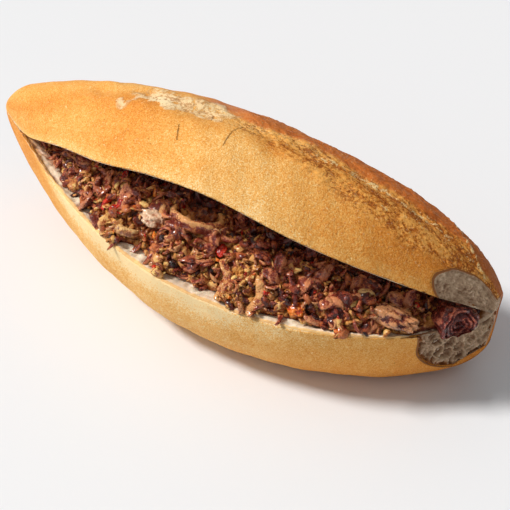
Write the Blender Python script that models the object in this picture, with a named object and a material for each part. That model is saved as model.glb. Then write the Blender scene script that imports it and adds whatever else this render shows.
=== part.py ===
"""Kokorec sandwich: a spindle loaf slit along its front, joined at the back and at the left tip, opened like
a jaw, cut off on a slant at its right end, and packed with chopped meat that runs from the tip to the cut.
Metres, +Z up. +X runs along the loaf to its cut end, the mouth faces -Y and the loaf rests on z = 0."""

import math

import bmesh
import bpy
import numpy as np
from mathutils import Matrix, Vector, geometry, noise

# The loaf
LOAF_LENGTH = 0.280  # from the left tip to the cut end
WHOLE_LENGTH = 0.2856  # the loaf before its end was cut off
HALF_WIDTH = 0.0465
CROWN = 0.0375  # the knife's level up to the top crust, loaf shut
DEPTH = 0.055  # the knife's level down to the bottom crust
REST_DEPTH = 0.003  # how much of the round bottom is pressed flat
WIDEST_AT = 0.548  # share of the whole length from the left tip
BACK_STRIP = 0.0115  # bread left uncut along the back
LIFT_LEFT = 0.67  # share of a thinner section's lost depth that lifts its underside
LIFT_RIGHT = 0.98
LENGTHWISE_TILT = 0.010  # the left tip rides this much higher, the right end lower
BOW = 0.026  # both ends bend back by this much
TAPER_LEFT = (1.68, 1.0)  # powers of the width's run to the left tip
TAPER_RIGHT = (2.31, 0.72)
CROWN_TAPER = (0.40, 0.69)  # powers of the crown's run, left and right of the widest place
DEPTH_TAPER = (0.43, 0.40)
CROWN_ROUND = 2.28  # super-ellipse powers of the section over and under the knife's level
DEPTH_ROUND = 2.31
TIP_PINCH = 0.45  # the crown lost at the left tip, and the share of the length it is lost over
PINCH_RUN = 0.045
TIP_BLUNT = 0.35
BLUNT_RUN = 0.05

# The mouth
OPEN_TIP = math.radians(3.0)  # the lid hardly lifts at the left tip
OPEN_MORE = math.radians(33.0)  # and opens this much more along the loaf
OPEN_FROM = 0.06  # shares of the loaf's length
OPEN_RUN = 0.13
OPEN_LOSS = math.radians(8.0)  # a little less again towards the cut end
OPEN_LOSS_FROM = 0.45
FLEX_FROM = math.radians(60)  # the crust bends with the lid from here over the back
FLEX_RUN = math.radians(200)
LIP_HANG = (math.radians(3.0), 0.33, 0.10)  # the lid's lip hangs by this angle round this share, over this width
LIP_RISE = (math.radians(2.0), 0.59, 0.11)  # and stands up by this one
LIP_WAVE_FADE = 0.6  # turn in radians over which both fade up the lid
SLIT_FROM = 0.045  # the cut runs to its full depth between these two shares of the length
SLIT_FULL = 0.21
NOTCH = 0.12  # its depth left at the tip, as a crease
PRESSED = 0.0055  # how far the filling presses the lower crumb down
LID_HOLLOW = 0.0025

# The slanted end
LOW_BIAS = math.radians(33.5)
LOW_CUT = 0.1026
LID_BIAS = math.radians(39.2)
LID_LEAN = math.radians(44.8)  # the lid's face turned up with the lid
LID_CUT = 0.1220
LID_FACE_TO = math.radians(168)  # the crust's turn at which the lid's face begins to pass into the lower face
LID_FACE_FADE = math.radians(22)
LAST_SHARE = 1.006  # lines that miss the cut end here, on the loaf's own tip

# Relief of the crust
SCORE_LINE = math.radians(61)  # where the baker's score runs over the top
SCORE_WIDTH = math.radians(9)
SCORE_DEPTH = 0.0011
CRUST_LUMP = 0.0006
LIP_TORN = 0.0009

STATIONS = 42
OUTER_STEPS = 32
MOUTH_STEPS = 6

# The heap of filling
HEAP_FROM = 0.130  # share of the loaf's length
HEAP_SHORT = 0.002  # it stops this far inside the slanted end
HEAP_FRONT = 0.0045  # how far the heap stays behind the lower lip
HEAP_BACK = 0.006  # and in front of the innermost point of the cut
HEAP_RISE = 0.46  # height of the heap as a share of the mouth's height
HEAP_SLOPE = 0.55  # share of the heap's depth over which it climbs
HEAP_STATIONS = 34
HEAP_ACROSS = 9
CLEAR = 0.0007  # gap kept to the bread

# The chopped bits fused on the heap
BITS_ALONG = 22
BITS_ACROSS = 5
BITS_OVER = 0.62  # share of the heap's depth that they cover
BITS_SEED = 7
BITS_FROM = 0.012  # share of the length between the heap's start and the first bits
BITS_TO = 0.982
BITS_SHORT = 0.005  # they stop this far inside the slanted end
BITS_ROOM = 0.004  # and lie only where the lid is this far over the heap
BITS_PROUD = 0.0010  # their middles lie this far over the heap
BIT_TILT = 35  # degrees
BIT_LEAST = (0.0030, 0.0022, 0.0019)  # half sizes
BIT_MOST = (0.0054, 0.0037, 0.0029)

# The larger pieces: x, y and lift before the whole is centred, then turns about X, Y and Z in degrees
POCKET = 0.00055  # the heap keeps this far from each of them
END_ROLL = (0.1255, 0.0105, 0.0010, (0, -14, -34))
ROLL_UNIT = 0.0011  # length of one unit in the end roll's profile
GUT_RING = (0.0065, -0.0155, 0.0018, (-12, 4, 8))
GUT_CURL = (-0.0225, -0.0300, 0.0012, (-20, 0, 0))
FAT_PIECE = (-0.0130, -0.0225, 0.0010, (0, 10, 25))
LONG_PIECE = (0.1052, -0.0090, 0.0020, (0, 6, 6))
TAN_SLICE = (0.0905, -0.0080, 0.0020, (20, 0, 20))
OVAL_PIECE = (0.1020, 0.0010, 0.0012, (0, 0, 30))
PEPPER_PIECE = (0.0235, -0.0225, 0.0014, (15, 0, 10))
TOMATO_PIECE = (0.0660, -0.0285, 0.0012, (30, 0, -8))

# Pieces draped down the slope: x, y, lift and heading in degrees
GUT_STRIPS = ((0.0490, -0.0335, 0.0012, 104), (0.0315, -0.0335, 0.0012, 112))
PEPPER_STRIPS = ((-0.0415, -0.0215, 0.0014, 104), (-0.0340, -0.0225, 0.0014, 62))


def clear_scene():
    for thing in list(bpy.data.objects):
        bpy.data.objects.remove(thing)


def smooth(value):
    """Smooth step from 0 to 1."""
    held = np.clip(value, 0.0, 1.0)
    return held * held * (3.0 - 2.0 * held)


def plain(name, colour, roughness):
    """A Principled material with the piece's own colour."""
    made = bpy.data.materials.new(name)
    made.use_nodes = True
    shader = made.node_tree.nodes["Principled BSDF"]
    shader.inputs["Base Color"].default_value = (*colour, 1.0)
    shader.inputs["Roughness"].default_value = roughness
    shader.inputs["Metallic"].default_value = 0.0
    made.diffuse_color = (*colour, 1.0)
    return made


def put(name, points, faces, material):
    """A mesh object in the scene, its normals facing out."""
    mesh = bpy.data.meshes.new(name)
    mesh.from_pydata([tuple(p) for p in points], [], faces)
    mesh.validate()
    work = bmesh.new()
    work.from_mesh(mesh)
    bmesh.ops.recalc_face_normals(work, faces=work.faces)
    work.to_mesh(mesh)
    work.free()
    mesh.materials.append(material)
    mesh.shade_smooth()
    mesh.set_sharp_from_angle(angle=math.radians(40))
    thing = bpy.data.objects.new(name, mesh)
    bpy.context.scene.collection.objects.link(thing)
    return thing


# --- the loaf's section -------------------------------------------------------------------------------------


def fullness(share):
    """How full the spindle is, 0 at both ends of the whole loaf and 1 at its widest."""
    along = share * LOAF_LENGTH / WHOLE_LENGTH
    left = along < WIDEST_AT
    away = np.where(left, (WIDEST_AT - along) / WIDEST_AT, (along - WIDEST_AT) / (1.0 - WIDEST_AT))
    away = np.clip(np.abs(away), 0.0, 1.0)
    power = np.where(left, TAPER_LEFT[0], TAPER_RIGHT[0])
    bend = np.where(left, TAPER_LEFT[1], TAPER_RIGHT[1])
    return np.maximum(1.0 - away**power, 1e-6) ** bend


def measures(share):
    """Half width, crown, depth, level of the knife's cut and sideways place of the section there."""
    along = share * LOAF_LENGTH / WHOLE_LENGTH
    left = along < WIDEST_AT
    full = fullness(share)
    pinch = 1.0 - TIP_PINCH * np.exp(-((np.maximum(share, 0.0) / PINCH_RUN) ** 1.5))
    half = HALF_WIDTH * full ** (1.0 - TIP_BLUNT * np.exp(-np.maximum(share, 0.0) / BLUNT_RUN))
    crown = CROWN * full ** np.where(left, *CROWN_TAPER) * pinch
    depth = DEPTH * full ** np.where(left, *DEPTH_TAPER) * (1.0 - 0.4 * (1.0 - pinch))
    lift = np.where(left, LIFT_LEFT, LIFT_RIGHT)
    level = DEPTH - REST_DEPTH - (DEPTH - depth) * (1.0 - lift) + LENGTHWISE_TILT * (1.0 - 2.0 * along)
    aside = BOW * (2.0 * along - 1.0) ** 2
    return half, crown, depth, level, aside


def opening(share):
    """How far the lid is open there, in radians: shut at the tip, soon wide, slightly less at the cut end."""
    grown = 1.0 - np.exp(-((np.maximum(share - OPEN_FROM, 0.0) / OPEN_RUN) ** 1.5))
    return OPEN_TIP + OPEN_MORE * grown - OPEN_LOSS * np.maximum(share - OPEN_LOSS_FROM, 0.0)


def lip_wave(share, turn):
    """How far the lid's front edge turns down or up on its own there, in radians."""
    rise = LIP_RISE[0] * np.exp(-(((share - LIP_RISE[1]) / LIP_RISE[2]) ** 2))
    hang = LIP_HANG[0] * np.exp(-(((share - LIP_HANG[1]) / LIP_HANG[2]) ** 2))
    return (rise - hang) * np.exp(-((turn / LIP_WAVE_FADE) ** 2))


def relief(share, turn):
    """How far the crust stands proud: slow lumps, and the score with its two lifted edges."""
    lumps = np.sin(31 * share + 2.1 * turn) * np.sin(2.7 * turn - 17 * share + 1.0)
    lumps += 0.6 * np.sin(74 * share + 5.3 * turn + 0.7) * np.sin(6.1 * turn + 41 * share)
    wander = SCORE_LINE + 0.10 * np.sin(9 * share + 0.4) + 0.04 * np.sin(37 * share)
    off = (turn - wander) / SCORE_WIDTH
    strength = smooth((share - 0.12) / 0.2) * smooth((1.02 - share) / 0.2)
    score = -np.exp(-(off**2)) + 0.8 * np.exp(-((off - 1.7) ** 2)) + 0.6 * np.exp(-((off + 1.6) ** 2))
    rough = 1.0 + 0.5 * np.sin(63 * share + 3.0 * turn)
    return CRUST_LUMP * lumps + SCORE_DEPTH * strength * score * rough


def shut_radius(half, crown, depth, turn):
    """Radius of the shut section about the knife's level: two half super-ellipses, one up and one down."""
    up = np.sin(turn) > 0
    power = np.where(up, CROWN_ROUND, DEPTH_ROUND)
    high = np.where(up, crown, depth)
    across = np.abs(np.cos(turn)) / half
    along = np.abs(np.sin(turn)) / high
    return (across**power + along**power) ** (-1.0 / power)


def crust(share, turn):
    """A point of the crust. turn runs from the lid's lip (0) over the top, the back and the bottom to the
    lower lip (2 pi). The lid is turned open about the back strip, and the back crust bends with it."""
    half, crown, depth, level, aside = measures(share)
    proud = relief(share, turn) * np.minimum(1.0, half / 0.02)
    radius = shut_radius(half, crown, depth, turn) + proud
    y = -radius * np.cos(turn)
    z = radius * np.sin(turn)
    hinge = half - BACK_STRIP * np.sqrt(half / HALF_WIDTH)
    reach = np.hypot(y - hinge, z)
    angle = np.arctan2(z, hinge - y) % (2 * np.pi)
    angle = np.where((turn > np.pi) & (angle < 0.5), angle + 2 * np.pi, angle)
    angle = angle + opening(share) * (1.0 - smooth((angle - FLEX_FROM) / FLEX_RUN)) + lip_wave(share, turn)
    y = hinge - reach * np.cos(angle)
    z = reach * np.sin(angle)
    x = -LOAF_LENGTH / 2 + share * LOAF_LENGTH + 0 * y
    return np.stack([x, y + aside, np.maximum(z + level, 0.0)], -1)


def slit_end(share):
    """The innermost point of the cut: close behind the lip at the tip, at the back strip along the rest."""
    half, _, _, level, aside = measures(share)
    hinge = half - BACK_STRIP * np.sqrt(half / HALF_WIDTH)
    deep = NOTCH + (1.0 - NOTCH) * smooth((share - SLIT_FROM) / (SLIT_FULL - SLIT_FROM))
    y = -half + (hinge + half) * deep
    x = -LOAF_LENGTH / 2 + share * LOAF_LENGTH
    return np.stack([x + 0 * y, y + aside, level + 0.0002 + 0 * y], -1)


def lower_crumb(share, inward):
    """The lower cut face, from the lower lip (0) to the innermost point (1), pressed down by the filling."""
    lip = crust(share, np.full_like(share, 2 * np.pi))
    end = slit_end(share)
    point = lip + (end - lip) * inward[..., None]
    room = smooth((share - SLIT_FROM) / (SLIT_FULL - SLIT_FROM))
    point[..., 2] -= PRESSED * room * np.sin(np.pi * inward**0.75)
    return point


def lid_crumb(share, outward):
    """The lid's cut face, from the innermost point (0) to the lid's lip (1), slightly hollow."""
    lip = crust(share, np.zeros_like(share))
    end = slit_end(share)
    point = end + (lip - end) * outward[..., None]
    room = smooth((share - SLIT_FROM) / (SLIT_FULL - SLIT_FROM))
    point[..., 2] += LID_HOLLOW * room * np.sin(np.pi * outward)
    return point


def past_cut(point, lid_share):
    """How far a point lies past the slanted end: the lower face, the lid's, or between them at the back."""
    x, y, z = point[..., 0], point[..., 1], point[..., 2]
    low = x * math.cos(LOW_BIAS) - y * math.sin(LOW_BIAS) - LOW_CUT
    side = math.sin(LID_BIAS)
    lid = x * math.cos(LID_BIAS) - y * side * math.cos(LID_LEAN) + z * side * math.sin(LID_LEAN) - LID_CUT
    return low + (lid - low) * lid_share


def ring_lines():
    """The lines that run along the loaf: (function, its parameter, share of the lid's end face)."""
    lines = []
    for step in range(OUTER_STEPS + 1):
        turn = 2 * math.pi * step / OUTER_STEPS
        lid_share = 1.0 - float(smooth((turn - LID_FACE_TO) / LID_FACE_FADE))
        lines.append((crust, turn, lid_share))
    for step in range(1, MOUTH_STEPS):
        lines.append((lower_crumb, step / MOUTH_STEPS, 0.0))
    lines.append((lower_crumb, 1.0, 0.0))
    for step in range(1, MOUTH_STEPS):
        lines.append((lid_crumb, step / MOUTH_STEPS, 1.0))
    return lines


def along_line(line, share):
    """Points of one line at these shares of the length."""
    function, value, _ = line
    return function(share, np.full_like(share, value))


def end_share(line):
    """The share of the length at which this line meets the slanted end. At the back some lines run past the
    cut's far edge and end on the loaf's own rounded tip."""
    tried = np.linspace(WIDEST_AT, LAST_SHARE, 400)
    past = past_cut(along_line(line, tried), line[2])
    beyond = np.nonzero(past > 0)[0]
    if not len(beyond):
        return float(tried[-1])
    last = max(int(beyond[0]), 1)
    part = -past[last - 1] / (past[last] - past[last - 1])
    return float(tried[last - 1] + part * (tried[last] - tried[last - 1]))


def bread():
    """The whole loaf as one solid: rings from the tip to the slanted end, and the two end faces."""
    lines = ring_lines()
    ends = [end_share(line) for line in lines]
    spread = np.linspace(0.0, 1.0, STATIONS) ** 1.25
    spread = 0.004 + 0.996 * spread
    columns = [along_line(line, spread * end) for line, end in zip(lines, ends)]
    torn = LIP_TORN * np.abs(np.sin(211 * spread) * np.sin(57 * spread + 1.3)) * smooth((spread - 0.1) / 0.1)
    columns[0][:, 2] += torn
    count = len(lines)
    rings = np.stack(columns, axis=1)
    points = [tuple(p) for p in rings.reshape(-1, 3)]
    faces = []
    for row in range(STATIONS - 1):
        for column in range(count):
            here = row * count + column
            beside = row * count + (column + 1) % count
            faces.append((here, beside, beside + count, here + count))
    tip = len(points)
    points.append(tuple(rings[0].mean(axis=0) - np.array([0.0006, 0.0, 0.0])))
    for column in range(count):
        faces.append((tip, (column + 1) % count, column))
    first = (STATIONS - 1) * count
    back = OUTER_STEPS // 2
    inner = OUTER_STEPS + MOUTH_STEPS
    lid_face = list(range(0, back + 1)) + list(range(inner, count))
    low_face = list(range(back, inner + 1))
    for outline in (lid_face, low_face):
        loop = [Vector(points[first + place]) for place in outline]
        for corner in geometry.tessellate_polygon([loop]):
            faces.append(tuple(first + outline[place] for place in corner))
    return put("bread", points, faces, plain("baked_crust", (0.80, 0.47, 0.17), 0.62))


# --- the heap of chopped filling ----------------------------------------------------------------------------


def heap_front(share, low):
    """Where the heap begins behind the lower lip, wandering along the loaf."""
    return low[0, 1] + HEAP_FRONT * (1.0 + 0.45 * math.sin(61 * share) + 0.3 * math.sin(23 * share + 2))


def mouth(share):
    """The lower crumb's and the lid crumb's lines across the mouth there, each from the front to the back."""
    steps = np.linspace(0.0, 1.0, 15)
    shares = np.full_like(steps, share)
    return lower_crumb(shares, steps), lid_crumb(shares, steps)[::-1]


def room(share, y):
    """Height of the lower crumb at this place and of the lid above it, which has no limit before its lip."""
    low, lid = mouth(share)
    roof = float(np.interp(y, lid[:, 1], lid[:, 2])) if y > lid[0, 1] else 1.0
    return float(np.interp(y, low[:, 1], low[:, 2])), roof


def heap_height(share, y):
    """Height of the heap's top: a steep rounded front, a lumpy slope, then close under the lid."""
    low, lid = mouth(share)
    front = heap_front(share, low)
    tall = HEAP_RISE * (lid[0, 2] - low[0, 2])
    run = HEAP_SLOPE * (low[-1, 1] - front)
    part = min(max((y - front) / run, 0.0), 1.0)
    lumps = 0.0012 * math.sin(900 * y + 97 * share) * math.sin(113 * share + 350 * y)
    lumps += 0.0010 * math.sin(61 * share - 520 * y + 1.1)
    floor, roof = room(share, y)
    top = floor + tall * (1.0 - (1.0 - part) ** 2.2) ** 0.75 + lumps * min(1.0, 4 * part)
    return max(min(top, roof - CLEAR), floor + 2 * CLEAR)


def heap_core():
    """The heap's body: rings over the lower crumb and back over the top, the last one on the slanted cut."""
    start = -LOAF_LENGTH / 2 + HEAP_FROM * LOAF_LENGTH
    rings = []
    for step in np.linspace(0.0, 1.0, HEAP_STATIONS):
        under = []
        over = []
        for across in np.linspace(0.0, 1.0, HEAP_ACROSS) ** 1.2:
            x = start + step * 0.2
            for _ in range(8):
                share = x / LOAF_LENGTH + 0.5
                low, _ = mouth(share)
                front = heap_front(share, low)
                y = front + (low[-1, 1] - HEAP_BACK - front) * across
                end = (LOW_CUT - HEAP_SHORT + y * math.sin(LOW_BIAS)) / math.cos(LOW_BIAS)
                x = start + step * (min(end, 0.136) - start)
            share = x / LOAF_LENGTH + 0.5
            under.append((x, y, room(share, y)[0] + CLEAR))
            over.append((x, y, heap_height(share, y)))
        rings.append(under + over[::-1])
    return rings


def loft(name, rings, material):
    """A closed body through rings of equal count."""
    count = len(rings[0])
    points = [p for ring in rings for p in ring]
    faces = [tuple(range(count))[::-1], tuple(range(len(points) - count, len(points)))]
    for row in range(len(rings) - 1):
        for column in range(count):
            here = row * count + column
            beside = row * count + (column + 1) % count
            faces.append((here, beside, beside + count, here + count))
    return put(name, points, faces, material)


# --- pieces that lie on the heap ----------------------------------------------------------------------------


def settle(points):
    """Keeps points between the lower crumb and the lid, as soft pieces are pressed."""
    held = []
    for x, y, z in points:
        floor, roof = room(min(x / LOAF_LENGTH + 0.5, 1.0), y)
        held.append((x, y, max(min(z, roof - CLEAR), floor + CLEAR)))
    return held


def turned(points, degrees):
    """Points turned about X, then Y, then Z."""
    turn = Matrix.Identity(3)
    for axis, angle in zip("XYZ", degrees):
        turn = Matrix.Rotation(math.radians(angle), 3, axis) @ turn
    return [turn @ Vector(p) for p in points]


def placed(points, x, y, lift, degrees):
    """Points turned, then set on the heap there, raised by lift, and kept clear of the bread."""
    base = Vector((x, y, heap_height(x / LOAF_LENGTH + 0.5, y) + lift))
    return settle([tuple(p + base) for p in turned(points, degrees)])


def band_rings(route, widths, heights, sides):
    """Rings of an oval band that follows a route."""
    rings = []
    last = len(route) - 1
    for index, point in enumerate(route):
        before = Vector(route[max(index - 1, 0)])
        after = Vector(route[min(index + 1, last)])
        ahead = (after - before).normalized()
        aside = ahead.cross(Vector((0, 0, 1))).normalized()
        up = aside.cross(ahead)
        for side in range(sides):
            turn = 2 * math.pi * side / sides
            across = aside * widths[index] * math.cos(turn) + up * heights[index] * math.sin(turn)
            rings.append(Vector(point) + across)
    return rings


def curled(name, route, widths, heights, material, place):
    """A stiff band set on the heap as it is."""
    points = placed(band_rings(route, widths, heights, 8), *place)
    return loft(name, [points[i : i + 8] for i in range(0, len(points), 8)], material)


def draped(name, route, widths, heights, material, place):
    """A limp band that follows the heap's slope from its place on, turned by heading."""
    x, y, lift, heading = place
    turn = Matrix.Rotation(math.radians(heading), 3, "Z")
    laid = []
    for point in route:
        spot = turn @ Vector(point) + Vector((x, y, 0))
        spot.z = heap_height(spot.x / LOAF_LENGTH + 0.5, spot.y) + lift
        laid.append(spot)
    points = settle([tuple(p) for p in band_rings(laid, widths, heights, 7)])
    return loft(name, [points[i : i + 7] for i in range(0, len(points), 7)], material)


def tapered(count, full, end=0.35):
    """Sizes along a piece that swell from its ends to the full size."""
    steps = np.linspace(0.0, 1.0, count)
    return [full * (end + (1 - end) * math.sin(math.pi * step) ** 0.5) for step in steps]


def arc(radius_x, radius_y, start, sweep, count, rise=0.0):
    """Points on part of an oval, climbing by rise."""
    route = []
    for step in range(count):
        part = step / (count - 1)
        turn = math.radians(start + sweep * part)
        route.append((radius_x * math.cos(turn), radius_y * math.sin(turn), rise * part))
    return route


def lump_points(size, fine, seed, dents):
    """A ball's points pulled to the given half sizes and dented unevenly."""
    work = bmesh.new()
    bmesh.ops.create_icosphere(work, subdivisions=fine, radius=1.0)
    shift = Vector((seed * 3.1, seed * 1.7, 5.0))
    points = []
    for vertex in work.verts:
        bump = 1.0 + dents * noise.noise(vertex.co * 1.6 + shift)
        points.append(tuple(vertex.co[i] * size[i] * bump for i in range(3)))
    faces = [tuple(vertex.index for vertex in face.verts) for face in work.faces]
    work.free()
    return points, faces


def lump(name, size, fine, seed, dents, material, place):
    """A dented ball set on the heap."""
    points, faces = lump_points(size, fine, seed, dents)
    return put(name, placed(points, *place), faces, material)


def end_roll(material):
    """The wound roll at the cut end: rings of a barrel whose face steps inwards turn by turn."""
    rings = []
    profile = [(-9, 2.5), (-8, 5.5), (-5, 7.6), (0, 8.4), (5, 8.2), (7.5, 7.4), (6.8, 6.6), (8.2, 5.8)]
    profile += [(7.3, 5.0), (8.6, 4.2), (7.5, 3.3), (8.4, 2.3), (7.0, 1.2)]
    for along, radius in profile:
        ring = []
        for side in range(18):
            turn = 2 * math.pi * side / 18
            out = radius * (1.0 + 0.07 * math.sin(3 * turn + 0.4 * along))
            ring.append((along, out * math.cos(turn), 0.86 * out * math.sin(turn)))
        rings.append(ring)
    flat = placed([ROLL_UNIT * Vector(p) for ring in rings for p in ring], *END_ROLL)
    rings = [flat[i : i + 18] for i in range(0, len(flat), 18)]
    return loft("end_roll", rings, material)


def larger_pieces():
    """The pieces that stand out of the chopped filling, each a solid of its own."""
    dark = plain("roll_meat", (0.24, 0.06, 0.05), 0.35)
    red = plain("braised_gut", (0.42, 0.16, 0.10), 0.35)
    tan = plain("tan_gut", (0.62, 0.38, 0.20), 0.4)
    pale = plain("pale_fat", (0.76, 0.56, 0.45), 0.4)
    pepper = plain("red_pepper", (0.68, 0.06, 0.03), 0.3)
    tomato = plain("tomato", (0.85, 0.26, 0.06), 0.3)
    made = [end_roll(dark)]
    ring = arc(0.0118, 0.0085, 160, 250, 22, 0.001)
    made.append(curled("gut_ring", ring, tapered(22, 0.0011), tapered(22, 0.0032), red, GUT_RING))
    curl = arc(0.0056, 0.0050, 100, 250, 12, 0.001)
    made.append(curled("gut_curl", curl, tapered(12, 0.0021), tapered(12, 0.0021), tan, GUT_CURL))
    made.append(lump("fat_piece", (0.0052, 0.0042, 0.0034), 2, 3, 0.35, pale, FAT_PIECE))
    made.append(lump("long_piece", (0.0110, 0.0052, 0.0050), 3, 5, 0.35, dark, LONG_PIECE))
    made.append(lump("tan_slice", (0.0044, 0.0018, 0.0044), 2, 6, 0.15, tan, TAN_SLICE))
    made.append(lump("oval_piece", (0.0034, 0.0024, 0.0022), 2, 8, 0.2, tan, OVAL_PIECE))
    made.append(lump("pepper_piece", (0.0024, 0.0035, 0.0016), 2, 9, 0.2, pepper, PEPPER_PIECE))
    made.append(lump("tomato_piece", (0.0042, 0.0030, 0.0020), 2, 4, 0.3, tomato, TOMATO_PIECE))
    for number, place in enumerate(GUT_STRIPS, 1):
        strip = [(-0.0085 + 0.0017 * step, 0.0016 * math.sin(0.8 * step), 0.0) for step in range(11)]
        sizes = (tapered(11, 0.0024), tapered(11, 0.0013))
        made.append(draped(f"gut_strip_{number}", strip, *sizes, red, place))
    for number, place in enumerate(PEPPER_STRIPS, 1):
        strip = [(-0.0042 + 0.0014 * step, 0.0008 * math.sin(1.1 * step), 0.0) for step in range(7)]
        sizes = (tapered(7, 0.0014), tapered(7, 0.0009))
        made.append(draped(f"pepper_strip_{number}", strip, *sizes, pepper, place))
    return made


def chopped_bits(material):
    """Small chopped bits over the showing slope, spread evenly by a jittered grid and drawn from one seed."""
    draw = np.random.default_rng(BITS_SEED)
    bits = []
    first = HEAP_FROM + BITS_FROM
    for step in range(BITS_ALONG):
        for row in range(BITS_ACROSS):
            part = (step + draw.uniform(0.15, 0.85)) / BITS_ALONG
            share = first + (BITS_TO - first) * part
            across = (row + draw.uniform(0.1, 0.9)) / BITS_ACROSS
            low, lid = mouth(share)
            front = heap_front(share, low)
            y = front - 0.001 + BITS_OVER * (low[-1, 1] - front) * across
            x = (share - 0.5) * LOAF_LENGTH
            size = draw.uniform(BIT_LEAST, BIT_MOST)
            tilt = draw.uniform((-BIT_TILT, -BIT_TILT, 0), (BIT_TILT, BIT_TILT, 180))
            over = x * math.cos(LOW_BIAS) - y * math.sin(LOW_BIAS) > LOW_CUT - BITS_SHORT
            if over or room(share, y)[1] - heap_height(share, y) < BITS_ROOM:
                continue
            points, faces = lump_points(size, 1, len(bits), 0.4)
            bits.append(put(f"bit_{len(bits)}", placed(points, x, y, BITS_PROUD, tilt), faces, material))
    return bits


def swollen(thing):
    """A copy pushed outwards all round, to cut a pocket with."""
    work = bmesh.new()
    work.from_mesh(thing.data)
    work.normal_update()
    for vertex in work.verts:
        vertex.co = vertex.co + vertex.normal * POCKET
    mesh = bpy.data.meshes.new(thing.name + "_pocket")
    work.to_mesh(mesh)
    work.free()
    return bpy.data.objects.new(mesh.name, mesh)


def joined(thing, others, operation):
    """The thing after one Boolean with all the others, which are then removed. Loose scraps are dropped."""
    group = bpy.data.collections.new("helpers")
    bpy.context.scene.collection.children.link(group)
    for other in others:
        for holder in list(other.users_collection):
            holder.objects.unlink(other)
        group.objects.link(other)
    step = thing.modifiers.new("join", "BOOLEAN")
    step.operation = operation
    step.operand_type = "COLLECTION"
    step.collection = group
    step.solver = "EXACT"
    graph = bpy.context.evaluated_depsgraph_get()
    mesh = bpy.data.meshes.new_from_object(thing.evaluated_get(graph))
    thing.modifiers.clear()
    thing.data = mesh
    for other in others:
        bpy.data.objects.remove(other)
    bpy.data.collections.remove(group)
    drop_scraps(mesh)


def drop_scraps(mesh):
    """Keeps the largest of the mesh's closed bodies, and drops loose scraps and sealed hollows."""
    work = bmesh.new()
    work.from_mesh(mesh)
    unseen = set(work.faces)
    largest = set()
    while unseen:
        found = {unseen.pop()}
        edge = list(found)
        while edge:
            face = edge.pop()
            sides = [side for side in face.edges if len(side.link_faces) == 2]
            beside = {near for side in sides for near in side.link_faces} - found
            found |= beside
            edge += beside
        unseen -= found
        if len(found) > len(largest):
            largest = found
    bmesh.ops.delete(work, geom=[face for face in work.faces if face not in largest], context="FACES")
    work.to_mesh(mesh)
    work.free()


def chopped_filling():
    """The heap with its fused bits, and a pocket round each larger piece."""
    meat = plain("chopped_meat", (0.27, 0.11, 0.06), 0.4)
    heap = loft("chopped_filling", heap_core(), meat)
    joined(heap, chopped_bits(meat), "UNION")
    joined(heap, [swollen(piece) for piece in larger_pieces()], "DIFFERENCE")


def centre_on_floor():
    """Moves every mesh alike, so that the whole stands centred on the origin."""
    things = list(bpy.context.scene.collection.objects)
    corners = np.array([v.co for thing in things for v in thing.data.vertices])
    low = corners.min(axis=0)
    high = corners.max(axis=0)
    shift = Vector((-(low[0] + high[0]) / 2, -(low[1] + high[1]) / 2, -low[2]))
    for thing in things:
        thing.data.transform(Matrix.Translation(shift))
    print("moved by", tuple(round(1000 * value, 3) for value in shift), "mm")


clear_scene()
bread()
chopped_filling()
centre_on_floor()
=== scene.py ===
# Kokorec sandwich: the finish of the bread and the filling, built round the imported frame.
# Every length is in metres. The loaf lies along X with its tip at -X, its cut end at +X and its mouth at -Y.

import math

import bpy
import numpy as np
from mathutils import Matrix, Vector


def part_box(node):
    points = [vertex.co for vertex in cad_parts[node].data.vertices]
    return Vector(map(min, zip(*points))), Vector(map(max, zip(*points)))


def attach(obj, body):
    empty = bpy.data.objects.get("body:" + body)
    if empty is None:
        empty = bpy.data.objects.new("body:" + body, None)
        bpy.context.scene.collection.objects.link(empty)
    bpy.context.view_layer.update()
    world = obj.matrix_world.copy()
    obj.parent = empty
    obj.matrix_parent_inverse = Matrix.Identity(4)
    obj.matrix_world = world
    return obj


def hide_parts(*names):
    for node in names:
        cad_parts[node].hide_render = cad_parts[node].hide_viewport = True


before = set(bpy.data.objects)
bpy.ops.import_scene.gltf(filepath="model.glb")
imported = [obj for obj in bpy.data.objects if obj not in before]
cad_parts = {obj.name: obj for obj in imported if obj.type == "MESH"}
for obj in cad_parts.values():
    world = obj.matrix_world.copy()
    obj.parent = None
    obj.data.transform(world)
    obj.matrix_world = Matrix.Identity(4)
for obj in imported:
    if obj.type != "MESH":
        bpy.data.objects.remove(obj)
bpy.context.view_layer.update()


radians = math.radians


# small tools: noise, grids and meshes


def smoothStep(value):
    # 0 under 0, 1 over 1, and 3v^2 - 2v^3 between
    held = np.clip(value, 0.0, 1.0)
    return held * held * (3.0 - 2.0 * held)


def rising(value, start, run):
    # from 0 at the start to 1 a run after it, smoothly
    return smoothStep((value - start) / run)


def falling(value, end, run):
    # from 1 a run before the end to 0 at the end, smoothly
    return smoothStep((end - value) / run)


def bump(value, middle, width):
    # a bell of height 1 round the middle
    return np.exp(-(((value - middle) / width) ** 2))


def joined(x, y, z):
    # three arrays or numbers as one array of points
    return np.stack(np.broadcast_arrays(x, y, z), axis=-1)


def cellRandom(cell, seed):
    # an even random number from 0 to 1 for every whole-number cell
    mixed = cell[..., 0] * 73856093 ^ cell[..., 1] * 19349663 ^ cell[..., 2] * 83492791 ^ seed * 40503
    mixed = (mixed ^ (mixed >> 13)) * 1274126177 & 0x7FFFFFFF
    mixed = (mixed ^ (mixed >> 11)) * 668265263 & 0x7FFFFFFF
    return ((mixed >> 7) & 0xFFFF) / 65535.0


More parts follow.
